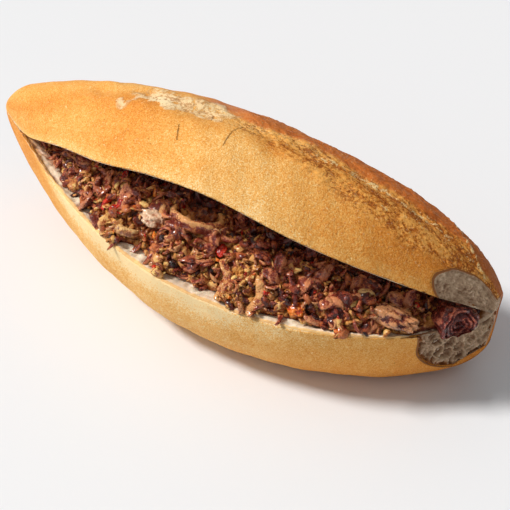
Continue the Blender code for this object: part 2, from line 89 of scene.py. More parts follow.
def latticeNoise(points, seed=0):
    # random values at whole-number points, blended between them by a smooth step, from -1 to 1
    cell = np.floor(points).astype(np.int64)
    part = smoothStep(points - cell)
    total = np.zeros(points.shape[:-1])
    for corner in range(8):
        step = np.array([corner & 1, corner >> 1 & 1, corner >> 2 & 1])
        weight = np.prod(np.where(step == 1, part, 1.0 - part), axis=-1)
        total += weight * (2.0 * cellRandom(cell + step, seed) - 1.0)
    return total


def roughNoise(points, seed=0, octaves=3):
    # lattice noise added to itself at twice the scale and half the height, again and again
    total = np.zeros(points.shape[:-1])
    for octave in range(octaves):
        total += latticeNoise(points * 2.0**octave, seed + octave) * 0.5**octave
    return total


def foldNoise(points, seed, octaves):
    # rough noise folded about 0: narrow crests of height 1
    return 1.0 - 2.0 * np.abs(roughNoise(points, seed, octaves))


def warpNoise(points, seed):
    # a shift with three noises of its own, one along each axis
    return np.stack([latticeNoise(points, seed + axis) for axis in range(3)], axis=-1)


def cellNoise(points, seed=0):
    # one jittered point in each whole-number cell: distances to the nearest two, and the nearest one's number
    base = np.floor(points).astype(np.int64)
    nearest = np.full(points.shape[:-1], 9.0)
    second = np.full(points.shape[:-1], 9.0)
    number = np.zeros(points.shape[:-1])
    for step in np.ndindex(3, 3, 3):
        cell = base + np.array(step) - 1
        jitter = np.stack([cellRandom(cell, seed + axis) for axis in range(3)], axis=-1)
        away = np.linalg.norm(cell + jitter - points, axis=-1)
        closer = away < nearest
        second = np.where(closer, nearest, np.minimum(second, away))
        number = np.where(closer, cellRandom(cell, seed + 7), number)
        nearest = np.where(closer, away, nearest)
    return nearest, second, number


def gridFaces(rows, columns, wrap=False, first=0):
    # quads of a grid whose points are numbered row by row
    row, column = np.meshgrid(np.arange(rows - 1), np.arange(columns if wrap else columns - 1), indexing="ij")
    beside = (column + 1) % columns
    corners = [row * columns + column, row * columns + beside]
    corners += [(row + 1) * columns + beside, (row + 1) * columns + column]
    return np.stack(corners, axis=-1).reshape(-1, 4) + first


def fanFaces(sides, tip, first=0, turned=False):
    # triangles from a tip to the points of a ring, the other way round where turned
    side = np.arange(sides)
    beside = (side + 1) % sides
    pair = (side, beside) if turned else (beside, side)
    return np.stack([np.full(sides, tip), first + pair[0], first + pair[1]], axis=-1)


def signedVolume(points, kinds):
    # the sum of the tetrahedra from the origin to every face, more than 0 where faces point outwards
    total = 0.0
    for kind in kinds:
        for corner in range(1, kind.shape[1] - 1):
            a, b, c = (points[kind[:, k]].astype(float) for k in (0, corner, corner + 1))
            total += float(np.einsum("ij,ij->i", a, np.cross(b, c)).sum())
    return total


def addObject(name, data):
    made = bpy.data.objects.new(name, data)
    bpy.context.scene.collection.objects.link(made)
    return made


def addMesh(name, points, faces, marks, uv=None):
    # faces: arrays of quads, triangles or longer polygons. marks: one number per point under a name each
    mesh = bpy.data.meshes.new(name)
    points = np.asarray(points + placeShift, np.float32).reshape(-1, 3)
    kinds = [np.asarray(kind, np.int32) for kind in faces]
    corners = np.concatenate([kind.ravel() for kind in kinds])
    sizes = np.concatenate([np.full(len(kind), kind.shape[1], np.int32) for kind in kinds])
    mesh.vertices.add(len(points))
    mesh.vertices.foreach_set("co", points.ravel())
    mesh.loops.add(len(corners))
    mesh.loops.foreach_set("vertex_index", corners)
    mesh.polygons.add(len(sizes))
    mesh.polygons.foreach_set("loop_start", np.concatenate([[0], np.cumsum(sizes)[:-1]]).astype(np.int32))
    mesh.polygons.foreach_set("use_smooth", np.ones(len(sizes), bool))
    mesh.update(calc_edges=True)
    for mark, values in marks.items():
        layer = mesh.attributes.new(mark, "FLOAT", "POINT")
        layer.data.foreach_set("value", np.asarray(values, np.float32).ravel())
    if uv is not None:
        layer = mesh.uv_layers.new(name="surface")
        layer.data.foreach_set("uv", np.asarray(uv, np.float32)[corners].ravel())
    if signedVolume(points, kinds) < 0:
        mesh.flip_normals()
    print(name, "made with", len(sizes), "faces")
    return addObject(name, mesh)


def finishPiece(piece, material, slot, *nodes):
    # its material, its body and the CAD nodes that it stands for; its record slot is not used
    piece.data.materials.append(material)
    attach(piece, "root")
    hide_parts(*nodes)


# node tools


def setInputs(tree, node, values):
    # by name or number: sockets are linked, and plain values are set
    for name, value in values.items():
        socket = node.inputs[name]
        if isinstance(value, bpy.types.NodeSocket):
            tree.links.new(value, socket)
        elif socket.type == "RGBA" and len(value) == 3:
            socket.default_value = (*value, 1.0)
        else:
            socket.default_value = value


def addNode(tree, kind, values=None, **settings):
    made = tree.nodes.new(kind)
    for name, value in settings.items():
        setattr(made, name, value)
    setInputs(tree, made, values or {})
    return made


def calc(tree, operation, a, b=0.0, c=0.0, clamp=False):
    values = {0: a, 1: b, 2: c}
    return addNode(tree, "ShaderNodeMath", values, operation=operation, use_clamp=clamp).outputs[0]


def plus(tree, first, *others):
    for other in others:
        first = calc(tree, "ADD", first, other)
    return first


def times(tree, a, b):
    return calc(tree, "MULTIPLY", a, b)


def between(tree, value, low, high):
    # a mask that goes smoothly from 0 at low to 1 at high
    values = {"Value": value, "From Min": low, "From Max": high}
    return addNode(tree, "ShaderNodeMapRange", values, interpolation_type="SMOOTHSTEP").outputs["Result"]


def mixColour(tree, factor, a, b):
    return addNode(tree, "ShaderNodeMix", {0: factor, 6: a, 7: b}, data_type="RGBA").outputs[2]


def colourRamp(tree, factor, stops):
    made = addNode(tree, "ShaderNodeValToRGB", {"Fac": factor})
    marks = made.color_ramp.elements
    while len(marks) < len(stops):
        marks.new(0.5)
    for mark, (place, colour) in zip(marks, stops):
        mark.position = place
        mark.color = (*colour, 1.0)
    return made.outputs["Color"]


def noiseAt(tree, place, scale, detail=2.0, roughness=0.5, distortion=0.0):
    values = {"Vector": place, "Scale": scale, "Detail": detail, "Roughness": roughness}
    values["Distortion"] = distortion
    return addNode(tree, "ShaderNodeTexNoise", values).outputs["Fac"]


def cellsAt(tree, place, scale, feature="F1"):
    made = addNode(tree, "ShaderNodeTexVoronoi", {"Vector": place, "Scale": scale}, feature=feature)
    return made.outputs["Distance"]


def markOf(tree, name):
    return addNode(tree, "ShaderNodeAttribute", attribute_name=name).outputs["Fac"]


def objectPlace(tree):
    return addNode(tree, "ShaderNodeTexCoord").outputs["Object"]


def startMaterial(name):
    material = bpy.data.materials.new(name)
    material.use_nodes = True
    return material, material.node_tree, material.node_tree.nodes["Principled BSDF"]


def addBump(tree, shader, height, strength, distance):
    made = addNode(tree, "ShaderNodeBump", {"Height": height, "Strength": strength, "Distance": distance})
    tree.links.new(made.outputs["Normal"], shader.inputs["Normal"])


def startGroup(name, vectors, numbers, outputs):
    # a node group whose inputs are some vectors and some numbers, and whose outputs are numbers
    group = bpy.data.node_groups.new(name, "ShaderNodeTree")
    sockets = [(socket, "INPUT", "NodeSocketVector") for socket in vectors]
    sockets += [(socket, "INPUT", "NodeSocketFloat") for socket in numbers]
    sockets += [(socket, "OUTPUT", "NodeSocketFloat") for socket in outputs]
    for socket, way, kind in sockets:
        group.interface.new_socket(socket, in_out=way, socket_type=kind)
    return group, group.nodes.new("NodeGroupInput").outputs, group.nodes.new("NodeGroupOutput")


def placeGroup(tree, group, values):
    made = tree.nodes.new("ShaderNodeGroup")
    made.node_tree = group
    setInputs(tree, made, values)
    return made.outputs


# the loaf: the same named form as the CAD solid, with finer relief

loaf = {
    "length": 0.280,  # tip to cut end
    "wholeLength": 0.2856,  # before its end was cut off
    "halfWidth": 0.0465,
    "crown": 0.0375,
    "depth": 0.055,
    "restDepth": 0.003,
    "widestAt": 0.548,
    "backStrip": 0.0115,
    "taperLeft": (1.68, 1.0),
    "taperRight": (2.31, 0.72),
    "crownTaper": (0.40, 0.69),
    "depthTaper": (0.43, 0.40),
    "crownRound": 2.28,
    "depthRound": 2.31,
    "tipPinch": 0.45,
    "pinchRun": 0.045,
    "tipBlunt": 0.35,
    "bluntRun": 0.05,
    "lift": (0.67, 0.98),
    "tilt": 0.010,
    "bow": 0.026,
    "inset": 0.0006,  # the finished crust stays this far inside the CAD solid's ideal form
}
mouthCut = {
    "openTip": radians(3.0),
    "openMore": radians(33.0),
    "openFrom": 0.06,
    "openRun": 0.13,
    "openLoss": radians(8.0),
    "openLossFrom": 0.45,
    "flexFrom": radians(60),
    "flexRun": radians(200),
    "slitFrom": 0.045,
    "slitFull": 0.21,
    "notch": 0.12,
    "pressed": 0.0055,
    "lidHollow": 0.0025,
    "lipHang": (radians(3.0), 0.33, 0.10),  # angle, share of the length and width of the part that hangs
    "lipRise": (radians(2.0), 0.59, 0.11),
    "lipWaveFade": 0.6,
}
endCut = {
    "lowBias": radians(33.5),
    "lowCut": 0.1024,
    "lidBias": radians(39.2),
    "lidLean": radians(44.8),
    "lidCut": 0.1218,
    "lidFaceTo": radians(168),
    "lidFaceFade": radians(22),
    "lastShare": 1.0055,
}


def loafMeasures(share):
    # half width, crown, depth, level of the knife's cut and sideways place: powers of the spindle's fullness
    along = share * loaf["length"] / loaf["wholeLength"]
    widest = loaf["widestAt"]
    left = along < widest
    away = np.where(left, (widest - along) / widest, (along - widest) / (1.0 - widest))
    away = np.clip(np.abs(away), 0.0, 1.0)
    power = np.where(left, loaf["taperLeft"][0], loaf["taperRight"][0])
    bend = np.where(left, loaf["taperLeft"][1], loaf["taperRight"][1])
    full = np.maximum(1.0 - away**power, 1e-6) ** bend
    ahead = np.maximum(share, 0.0)
    pinch = 1.0 - loaf["tipPinch"] * np.exp(-((ahead / loaf["pinchRun"]) ** 1.5))
    half = loaf["halfWidth"] * full ** (1.0 - loaf["tipBlunt"] * np.exp(-ahead / loaf["bluntRun"]))
    crown = loaf["crown"] * full ** np.where(left, *loaf["crownTaper"]) * pinch
    depth = loaf["depth"] * full ** np.where(left, *loaf["depthTaper"]) * (1.0 - 0.4 * (1.0 - pinch))
    level = loaf["depth"] - loaf["restDepth"] + loaf["tilt"] * (1.0 - 2.0 * along)
    level = level - (loaf["depth"] - depth) * (1.0 - np.where(left, *loaf["lift"]))
    return half, crown, depth, level, loaf["bow"] * (2.0 * along - 1.0) ** 2


def mouthOpening(share):
    # shut at the tip, soon wide open, a little less at the cut end
    grown = 1.0 - np.exp(-((np.maximum(share - mouthCut["openFrom"], 0.0) / mouthCut["openRun"]) ** 1.5))
    lost = mouthCut["openLoss"] * np.maximum(share - mouthCut["openLossFrom"], 0.0)
    return mouthCut["openTip"] + mouthCut["openMore"] * grown - lost


def xOf(share):
    return (share - 0.5) * loaf["length"]


def shareOf(x):
    return x / loaf["length"] + 0.5


def hingeOf(half):
    # where the lid turns about the back strip, from the half width
    return half - loaf["backStrip"] * np.sqrt(half / loaf["halfWidth"])


def slitRun(share):
    # 0 where the knife's cut is shallow, at the tip, to 1 where it's full
    return rising(share, mouthCut["slitFrom"], mouthCut["slitFull"] - mouthCut["slitFrom"])


def lipWave(share, turn):
    # how far the lid's front edge turns up or down on its own: two bells along it, fading up the lid
    (rise, riseAt, riseWide), (hang, hangAt, hangWide) = mouthCut["lipRise"], mouthCut["lipHang"]
    wave = rise * bump(share, riseAt, riseWide) - hang * bump(share, hangAt, hangWide)
    return wave * np.exp(-((turn / mouthCut["lipWaveFade"]) ** 2))


def loafPoint(share, turn, proud):
    # two half super-ellipses about the knife's level, with the lid part turned open about the back strip
    half, crown, depth, level, aside = loafMeasures(share)
    up = np.sin(turn) > 0
    power = np.where(up, loaf["crownRound"], loaf["depthRound"])
    high = np.where(up, crown, depth)
    wide, tall = np.abs(np.cos(turn)) / half, np.abs(np.sin(turn)) / high
    radius = (wide**power + tall**power) ** (-1.0 / power)
    radius = radius + (proud - loaf["inset"]) * np.minimum(1.0, half / 0.02)
    y = -radius * np.cos(turn)
    z = radius * np.sin(turn)
    hinge = hingeOf(half)
    reach = np.hypot(y - hinge, z)
    angle = np.arctan2(z, hinge - y) % (2 * np.pi)
    angle = np.where((turn > np.pi) & (angle < 0.5), angle + 2 * np.pi, angle)
    bent = 1.0 - rising(angle, mouthCut["flexFrom"], mouthCut["flexRun"])
    angle = angle + mouthOpening(share) * bent + lipWave(share, turn)
    y = hinge - reach * np.cos(angle) + aside
    return joined(xOf(share), y, np.maximum(reach * np.sin(angle) + level, 0.0))


def slitEnd(share):
    # the innermost point of the knife's cut
    half, _, _, level, aside = loafMeasures(share)
    reach = mouthCut["notch"] + (1.0 - mouthCut["notch"]) * slitRun(share)
    return joined(xOf(share), -half + (hingeOf(half) + half) * reach + aside, level + 0.0002)


def lipLine(share, upper):
    # the lid's lip where upper, or the lower one
    return loafPoint(share, np.zeros_like(share) if upper else np.full_like(share, 2 * np.pi), 0.0)


def lowerCrumb(share, inward):
    # straight from the lower lip (0) to the slit's end (1), pressed down between by the filling
    lip = lipLine(share, False)
    point = lip + (slitEnd(share) - lip) * inward[..., None]
    point[..., 2] -= mouthCut["pressed"] * slitRun(share) * np.sin(np.pi * np.clip(inward, 0, 1) ** 1.1)
    return point


def lidCrumb(share, outward):
    # straight from the slit's end (0) to the lid's lip (1), slightly hollow
    end = slitEnd(share)
    point = end + (lipLine(share, True) - end) * outward[..., None]
    point[..., 2] += mouthCut["lidHollow"] * slitRun(share) * np.sin(np.pi * outward)
    return point


def cutNormal(upper):
    # the direction out of the cut plane: the lid's where upper, or the lower one's
    if not upper:
        return np.array([math.cos(endCut["lowBias"]), -math.sin(endCut["lowBias"]), 0.0])
    side, lean = math.sin(endCut["lidBias"]), endCut["lidLean"]
    return np.array([math.cos(endCut["lidBias"]), -side * math.cos(lean), side * math.sin(lean)])


def pastEnd(point, lidShare):
    # how far a point lies past the slanted cut: the lower plane, the lid's, or between them at the back
    low = point @ cutNormal(False) - endCut["lowCut"]
    return low + (point @ cutNormal(True) - endCut["lidCut"] - low) * lidShare


def endShares(surface, values, lidShares):
    # the share of the length where each line of a surface meets the slanted cut
    tried = np.linspace(loaf["widestAt"], endCut["lastShare"], 500)
    share, value = np.meshgrid(tried, values, indexing="ij")
    past = pastEnd(surface(share, value), lidShares[None, :])
    last = np.argmax(past > 0, axis=0)
    last = np.where(past.max(axis=0) > 0, np.maximum(last, 1), len(tried) - 1)
    column = np.arange(len(values))
    before, after = past[last - 1, column], past[last, column]
    part = np.clip(-before / np.where(after == before, 1.0, after - before), 0.0, 1.0)
    return tried[last - 1] + part * (tried[last] - tried[last - 1])


def lidShareOf(turn):
    # 1 round the lid, 0 round the base
    return 1.0 - rising(turn, endCut["lidFaceTo"], endCut["lidFaceFade"])


# the crust's relief and its marks, from the share of the length and the turn round the section

crustLook = {
    "lump": 0.0004,
    "backRise": 0.00035,
    "scoreLine": radians(61),  # the baker's score, over the top of the lid
    "scoreWidth": radians(9),
    "scoreDepth": 0.0011,
    "blister": 0.00035,
    "flakeRise": 0.00045,
    "ridge": 0.0007,
    "tipCrease": 0.0006,
    "lipTorn": 0.0007,
    "tipRound": 0.0005,  # how far the rounded tip stands out before its first ring
    "tipHollow": 0.0015,  # how far behind it the inner surface ends
    "thickness": 0.0019,
}


def scorePlace(share):
    # the score wanders a little about its line
    return crustLook["scoreLine"] + 0.10 * np.sin(9 * share + 0.4) + 0.04 * np.sin(37 * share)


def ridgePlace(share):
    # the rim that runs in from the back, in degrees
    return 111 - 500 * np.maximum(share - 0.875, 0)


def crustRelief(share, turn):
    # slow lumps, the back a little prouder, and the score as a groove between two lifted edges
    lumps = np.sin(31 * share + 2.1 * turn) * np.sin(2.7 * turn - 17 * share + 1.0)
    lumps += 0.6 * np.sin(74 * share + 5.3 * turn + 0.7) * np.sin(6.1 * turn + 41 * share)
    off = (turn - scorePlace(share)) / crustLook["scoreWidth"]
    strength = rising(share, 0.12, 0.2) * falling(share, 1.02, 0.2)
    score = 0.8 * bump(off, 1.7, 1.0) + 0.6 * bump(off, -1.6, 1.0) - bump(off, 0.0, 1.0)
    rough = 1.0 + 0.5 * np.sin(63 * share + 3.0 * turn)
    proud = crustLook["backRise"] * bump(turn, radians(98), radians(32)) * rising(share, 0.35, 0.2)
    return proud + crustLook["lump"] * lumps + crustLook["scoreDepth"] * strength * score * rough


def surfacePlace(share, turn):
    # a flat place in millimetres for noise that follows the crust: along the loaf and round its section
    return joined(280 * share, turn * (10 + 900 * loafMeasures(share)[0]), 0)


def crustMarks(share, turn):
    # where the crust is toasted, blistered, flaky, smooth and dark at the back, or pale, each from 0 to 1:
    # products of smooth ramps along the loaf and round it, with borders that drift by noise
    flat = surfacePlace(share, turn)
    degrees = np.degrees(turn)
    drift = 5.0 * latticeNoise(flat / 22, 3) + 2.5 * latticeNoise(flat / 7, 4)
    edge = 45 - 16 * rising(share, 0.52, 0.32) + drift
    blister = rising(degrees, edge, 9) * falling(degrees, 118, 14)
    blister *= smoothStep((share - 0.515 + 0.02 * latticeNoise(flat / 9, 5)) / 0.06)
    ragged = drift + 9.0 * roughNoise(flat / 8, 8, 3)
    flake = smoothStep((degrees - 43 - 0.8 * ragged) / 5) * smoothStep((81 - degrees + ragged) / 8)
    flake *= smoothStep((share - 0.285 - 0.004 * ragged) / 0.06)
    flake *= smoothStep((0.54 - share + 0.004 * ragged) / 0.03)
    flake *= 0.35 + 0.65 * smoothStep((latticeNoise(flat / 13, 9) + 0.45) / 0.4)
    flake *= 0.68 + 0.32 * bump(share, 0.40, 0.035) * bump(degrees, 55, 9)
    border = 73 + 0.5 * drift - 11 * rising(share, 0.93, 0.05)
    border = border - 9 * bump(share, 0.56, 0.09) - 5 * bump(share, 0.77, 0.05)
    over = rising(degrees, 92, 40)
    strip = rising(degrees, border, 5) * falling(degrees, 262, 60)
    strip *= smoothStep((share - 0.40 + 0.16 * over + 0.008 * drift) / (0.12 + 0.34 * over))
    # the lid's toast: broad swells, the far end, the back, along the score
    score = np.degrees(scorePlace(share))
    toast = 0.20 + 0.07 * bump(share, 0.39, 0.06) - 0.10 * bump(share, 0.61, 0.12)
    toast += 0.235 * rising(share, 0.70, 0.22) * rising(degrees, -15, 50)
    toast -= 0.07 * bump(share, 0.34, 0.16) * bump(degrees, 62, 22)
    toast += 0.34 * rising(degrees, 96, 40) * falling(degrees, 250, 60)
    toast += bump(degrees, 48, 14) * (0.07 + 0.06 * falling(share, 0.46, 0.14))
    toast += 0.26 * bump(degrees, score - 5, 9) * rising(share, 0.56, 0.08) * falling(share, 0.90, 0.12)
    # the base's: dark at the tip, pale in the middle, darker to the cut and towards its underside
    under = rising(degrees, 270, 25)
    base = 0.32 - 0.27 * rising(share, 0.10, 0.24) + 0.22 * rising(share, 0.55, 0.4)
    toast = toast * (1 - under) + under * base
    toast += 0.08 * falling(degrees, 330, 30) * under * rising(share, 0.3, 0.3)
    pale = 0.5 * falling(degrees, 13, 13) * (1 - 0.6 * rising(share, 0.4, 0.3))
    pale += rising(degrees, 338, 20) * (1 - 0.7 * rising(share, 0.45, 0.4)) * rising(share, 0.08, 0.24)
    seamAndRidgeLine = bump(degrees, score + 0.8 * drift, 4.5) * rising(share, 0.6, 0.12)
    seamAndRidgeLine *= 1 - 0.45 * rising(share, 0.82, 0.08)
    # along the back ridge the mark is a painted highlight line
    seamAndRidgeLine = np.maximum(seamAndRidgeLine, 0.8 * bump(degrees, ridgePlace(share), 3.5) * rising(share, 0.87, 0.04))
    return {"toast": toast, "blister": blister, "flake": flake, "strip": strip, "pale": pale, "seamAndRidgeLine": seamAndRidgeLine}


def crustDetail(share, turn, marks):
    # blisters from folded noise, flakes as low plateaus with steep edges, the score's seam, the tip's crease
    flat = surfacePlace(share, turn)
    degrees = np.degrees(turn)
    crags = 0.8 * foldNoise(flat / 2.6, 21, 2) + roughNoise(flat / 1.3, 23, 2)
    blisters = marks["blister"] * crustLook["blister"] * crags
    plate = roughNoise(flat * np.array([0.16, 0.22, 1.0]), 31, 3)
    flakes = marks["flake"] * crustLook["flakeRise"]
    flakes = flakes * smoothStep((plate + 1.1 * marks["flake"] - 0.75) / 0.12)
    seamAndRidgeLine = marks["seamAndRidgeLine"] * crustLook["blister"] * 1.5 * roughNoise(flat / 1.7, 37, 2)
    crease = -crustLook["tipCrease"] * bump(share, 0.062 + 0.02 * rising(degrees, 40, 50), 0.006)
    crease *= falling(degrees, 100, 20)
    grain = 0.00006 * roughNoise(flat / 1.6, 41, 2) + 0.0001 * latticeNoise(flat / 12, 43)
    ridge = crustLook["ridge"] * bump(degrees, ridgePlace(share), 3.0) * rising(share, 0.84, 0.05)
    return np.minimum(blisters + flakes + seamAndRidgeLine + crease + grain, 0.0007) + ridge


# the form's own middle is moved onto that of the CAD bread, found from its tip and its front
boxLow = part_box("bread")[0]
tipX = -0.5 * loaf["length"] + 0.0005
checkShare, checkTurn = np.meshgrid(np.linspace(0.3, 0.9, 60), np.radians(np.arange(281.25, 360, 11.25)))
# the CAD's lumps are half as tall again
checkProud = 1.5 * crustRelief(checkShare, checkTurn) + loaf["inset"]
frontY = loafPoint(checkShare, checkTurn, checkProud)[..., 1].min()
placeShift = np.array([boxLow.x - tipX, boxLow.y - frontY, 0.0])
print("frame loaded: the form is moved by", [round(1000 * float(v), 2) for v in placeShift], "mm")


# the crust: one shell, fine on the sides that show and plain inside

crustGrid = {
    "rows": 300,
    "tipRows": 5,
    "lidColumns": 132,  # turns from 0 to 125 degrees
    "backColumns": 60,  # to 285 degrees
    "baseColumns": 72,  # to 360
    "innerStep": 8,  # one inner column for each 8 outer ones
}


def crustTurns():
    # turns round the section, closest together over the lid and along the front of the base
    lid = np.linspace(0, radians(125), crustGrid["lidColumns"], endpoint=False)
    back = np.linspace(radians(125), radians(285), crustGrid["backColumns"], endpoint=False)
    base = np.linspace(radians(285), 2 * np.pi, crustGrid["baseColumns"] + 1)
    return np.concatenate([lid, back, base])


def crustSurface(share, turn):
    return loafPoint(share, turn, crustRelief(share, turn))


def buildCrust():
    # the outer surface is the loaf's form with its relief, the inner one the plain form a thickness inside
    turns = crustTurns()
    ends = endShares(crustSurface, turns, lidShareOf(turns))
    spread = 0.004 + 0.996 * np.linspace(0.0, 1.0, crustGrid["rows"]) ** 1.12
    share = spread[:, None] * ends[None, :]
    turn = np.broadcast_to(turns, share.shape)
    marks = crustMarks(share, turn)
    outer = loafPoint(share, turn, crustRelief(share, turn) + crustDetail(share, turn, marks))
    # both lips are torn, each within a few degrees of its edge
    torn = crustLook["lipTorn"] * np.abs(roughNoise(joined(share * 150, 0, 0), 51, 3))
    for sign, away in ((1, np.degrees(turn)), (-1, 360 - np.degrees(turn))):
        outer[..., 2] += sign * torn * np.exp(-away / 1.6) * rising(share, 0.1, 0.1)
    step = crustGrid["innerStep"]
    half = loafMeasures(share[:, ::step])[0]
    thin = np.minimum(crustLook["thickness"], 0.3 * half)
    inner = loafPoint(share[:, ::step], turn[:, ::step], -thin / np.minimum(1.0, half / 0.02))
    inner[..., 2] = np.maximum(inner[..., 2], 0.0012)
    outCount, inCount = outer.shape[1], inner.shape[1]
    count = outCount + inCount
    ring = np.concatenate([outer, inner[:, ::-1]], axis=1)
    # the rounded tip: rings drawn in towards one outer and one inner point
    middle = outer[0].mean(axis=0)
    innerTip = middle + np.array([crustLook["tipHollow"], 0, 0])
    dome = []
    for part in 1.0 - np.arange(1, crustGrid["tipRows"]) / crustGrid["tipRows"]:
        row = middle + (ring[0] - middle) * np.array([1.0, part, part])
        row = row - np.array([crustLook["tipRound"] * np.sqrt(1.0 - part**2), 0, 0])
        row[outCount:] = ring[0, outCount:] * part + innerTip * (1 - part)
        dome.append(row)
    rings = np.concatenate([np.stack(dome[::-1]), ring])
    first = rings.shape[0] * count
    tips = [middle - np.array([1.1 * crustLook["tipRound"], 0, 0]), innerTip + np.array([0.0001, 0, 0])]
    points = np.concatenate([rings.reshape(-1, 3), tips])
    fans = []
    for tip, column in ((first, np.arange(outCount - 1)), (first + 1, np.arange(outCount, count - 1))):
        fans.append(np.stack([np.full(len(column), tip), column + 1, column], axis=-1))
    lips = [[first, 0, count - 1, first + 1], [first + 1, outCount, outCount - 1, first]]
    # the cut end: each inner column closes several outer ones
    base = (len(rings) - 1) * count
    part = np.arange(inCount - 1)[:, None]
    under = base + count - 1 - part
    cap = np.concatenate([base + part * step + np.arange(step + 1), under - 1, under], axis=1)

    def spreadOver(values):
        # the same values on the inner columns, on the rings of the tip and on its two points
        rows = np.concatenate([values, values[:, ::step][:, ::-1]], axis=1)
        rows = np.concatenate([np.repeat(rows[:1], len(dome), axis=0), rows]).reshape(-1, *values.shape[2:])
        return np.concatenate([rows, rows[:1], rows[:1]])

    marks = {name: spreadOver(values) for name, values in marks.items()}
    inside = np.zeros((len(rings), count))
    inside[:-1, outCount + 1 : -1] = 1.0
    marks["inside"] = np.append(inside.ravel(), [0.0, 1.0])
    uv = spreadOver(np.stack([share * 5.6, turn / (2 * np.pi)], axis=-1))
    faces = [gridFaces(len(rings), count, wrap=True), lips, *fans, cap]
    return addMesh("bread_crust", points, faces, marks, uv)


crust = buildCrust()


# the crumb: one soft body inside the crust, and a porous face on each half of the cut end

crumbLook = {
    "rows": 400,
    "columns": 46,
    "skin": 0.0008,  # its outside lies this far inside the crust's outer surface
    "endShort": 0.0050,  # it stops this far before the cut, inside the two end faces
    "torn": 0.0008,
    "lipSwell": 0.0008,
    "tuck": 0.0012,  # its edge dips this far inside the crust at the lower lip
    "faceColumns": 300,
    "faceRows": 120,
    "lidRind": 0.0003,  # the crust outside the lid's end face
    "baseRind": 0.0004,
    "faceDeep": 0.0062,
    # the pit depths at which the pit mark, and so its painted shade, is full
    "lidPits": 0.00100,  # the depth at which a pit's mark is 1
    "basePits": 0.0037,
}


def crumbSkin(share, turn, depth):
    # the crust's form, drawn in by a depth
    half = loafMeasures(share)[0]
    point = loafPoint(share, turn, crustRelief(share, turn) - depth / np.minimum(1.0, half / 0.02))
    point[..., 2] = np.maximum(point[..., 2], 0.0009)
    return point


def mouthLidShare(outward):
    # 0 at the slit's end, 1 from a sixth of the lid's cut face on
    return smoothStep(outward * 6.0)


def buildCrumb():
    # a ring of columns: the lower cut face inwards, the lid's cut face outwards, then back inside the crust
    columns = crumbLook["columns"]
    steps = np.linspace(0.0, 1.0, columns) ** 1.5
    outward = 1 - steps[::-1]
    turns = np.concatenate([radians(180) * steps, np.linspace(radians(180), 2 * np.pi, columns)[1:]])
    spread = 0.006 + 0.994 * np.linspace(0.0, 1.0, crumbLook["rows"])[:, None] ** 1.1
    short = crumbLook["endShort"] / loaf["length"]

    def skinOf(share, turn):
        return crumbSkin(share, turn, crumbLook["skin"])

    lines = []
    surfaces = ((lowerCrumb, lowerCrumb, steps, np.zeros(columns)),
                (lidCrumb, lidCrumb, outward, mouthLidShare(outward)),
                (crustSurface, skinOf, turns, lidShareOf(turns)))
    for surface, drawn, values, lidShares in surfaces:
        share = spread * (endShares(surface, values, lidShares)[None, :] - short)
        lines.append(drawn(share, np.broadcast_to(values, share.shape)))
    low, lid, skin = lines
    # torn relief on the cut faces, less at their lips; the lower lip swells and its edge dips into the crust
    inner, outer = rising(steps, 0, 0.05), falling(steps, 1, 0.05)
    edge = crumbLook["tuck"] * np.exp(-steps / 0.004)
    lowTear = roughNoise(low * 420, 62, 3) - 1.4 * (0.45 - cellNoise(low * 330, 66)[0])
    low[..., 2] += crumbLook["torn"] * lowTear * inner * outer
    low[..., 2] += crumbLook["lipSwell"] * bump(steps, 0.03, 0.03) - edge
    low[..., 1] += 0.6 * edge
    lidTear = roughNoise(lid * 520, 63, 3)
    lid[..., 2] -= crumbLook["torn"] * lidTear * inner * rising(steps[::-1], 0, 0.05)
    ring = np.concatenate([low, lid[:, 1:], skin], axis=1)
    rows, count = ring.shape[:2]
    # the tip's fan, and at the end the cut faces' lines joined straight to the outside
    points = np.concatenate([ring.reshape(-1, 3), ring[0].mean(axis=0)[None]])
    across = (rows - 1) * count + np.arange(2 * columns - 2)
    back = 2 * (rows - 1) * count + count - 1 - across
    cap = np.stack([across, across + 1, back - 1, back], axis=-1)
    # marks of the lower cut face alone: the browned rim behind its lip, wider at the tip, and the sauce
    along = shareOf(low[..., 0])
    rim = bump((low[..., 1] - low[:, :1, 1]) / (0.0015 + 0.0030 * falling(along, 0.22, 0.12)), 0, 1)
    spill = smoothStep((roughNoise(joined(along * 40, steps * 14, 0), 64, 3) + 0.05) / 0.6)
    spill = spill * (0.30 + 0.70 * bump(along, 0.13, 0.07)) + 0.58 * bump(along, 0.12, 0.08)
    marks = {"pit": np.zeros(len(points))}
    for mark, values in (("rind", rim), ("sauce", np.clip(spill, 0, 1))):
        whole = np.zeros((rows, count))
        whole[:, :columns] = values
        marks[mark] = np.append(whole.ravel(), 0.0)
    faces = [gridFaces(rows, count, wrap=True), fanFaces(count, len(points) - 1), cap]
    return addMesh("bread_crumb", points, faces, marks)


def lidPits(flat, warp, seed):
    # shallow: cells of different depth, small cups between them, and rough noise of two sizes
    near, second, number = cellNoise((flat + warp) * 420, seed)
    depth = 0.00028 * smoothStep((second - near) / 0.5) * number
    depth += 0.00030 * (0.9 - cellNoise(flat * 1100, seed + 20)[0])
    return depth + 0.00016 * (1 + roughNoise(flat * 150, seed + 5, 2) + roughNoise(flat * 900, seed + 9, 2))


def basePits(flat, warp, seed, fromCrust):
    # deep: large cells that open by their own number, small ones between them, more of both near the crust
    near, second, number = cellNoise((flat + 2 * warp) * np.array([185, 185, 150]), seed)
    wall = rising(second - near, 0.02, 0.24)
    near, second, _ = cellNoise((flat + warp) * 520, seed + 20)
    depth = wall * (0.0017 * (0.25 + 0.75 * rising(number, 0.25, 0.5)) + 0.0012 * np.exp(-fromCrust / 0.0035))
    depth += 0.0006 * smoothStep((second - near) / 0.22)
    return depth + 0.00025 * (1 + roughNoise(flat * 800, seed + 9, 3))


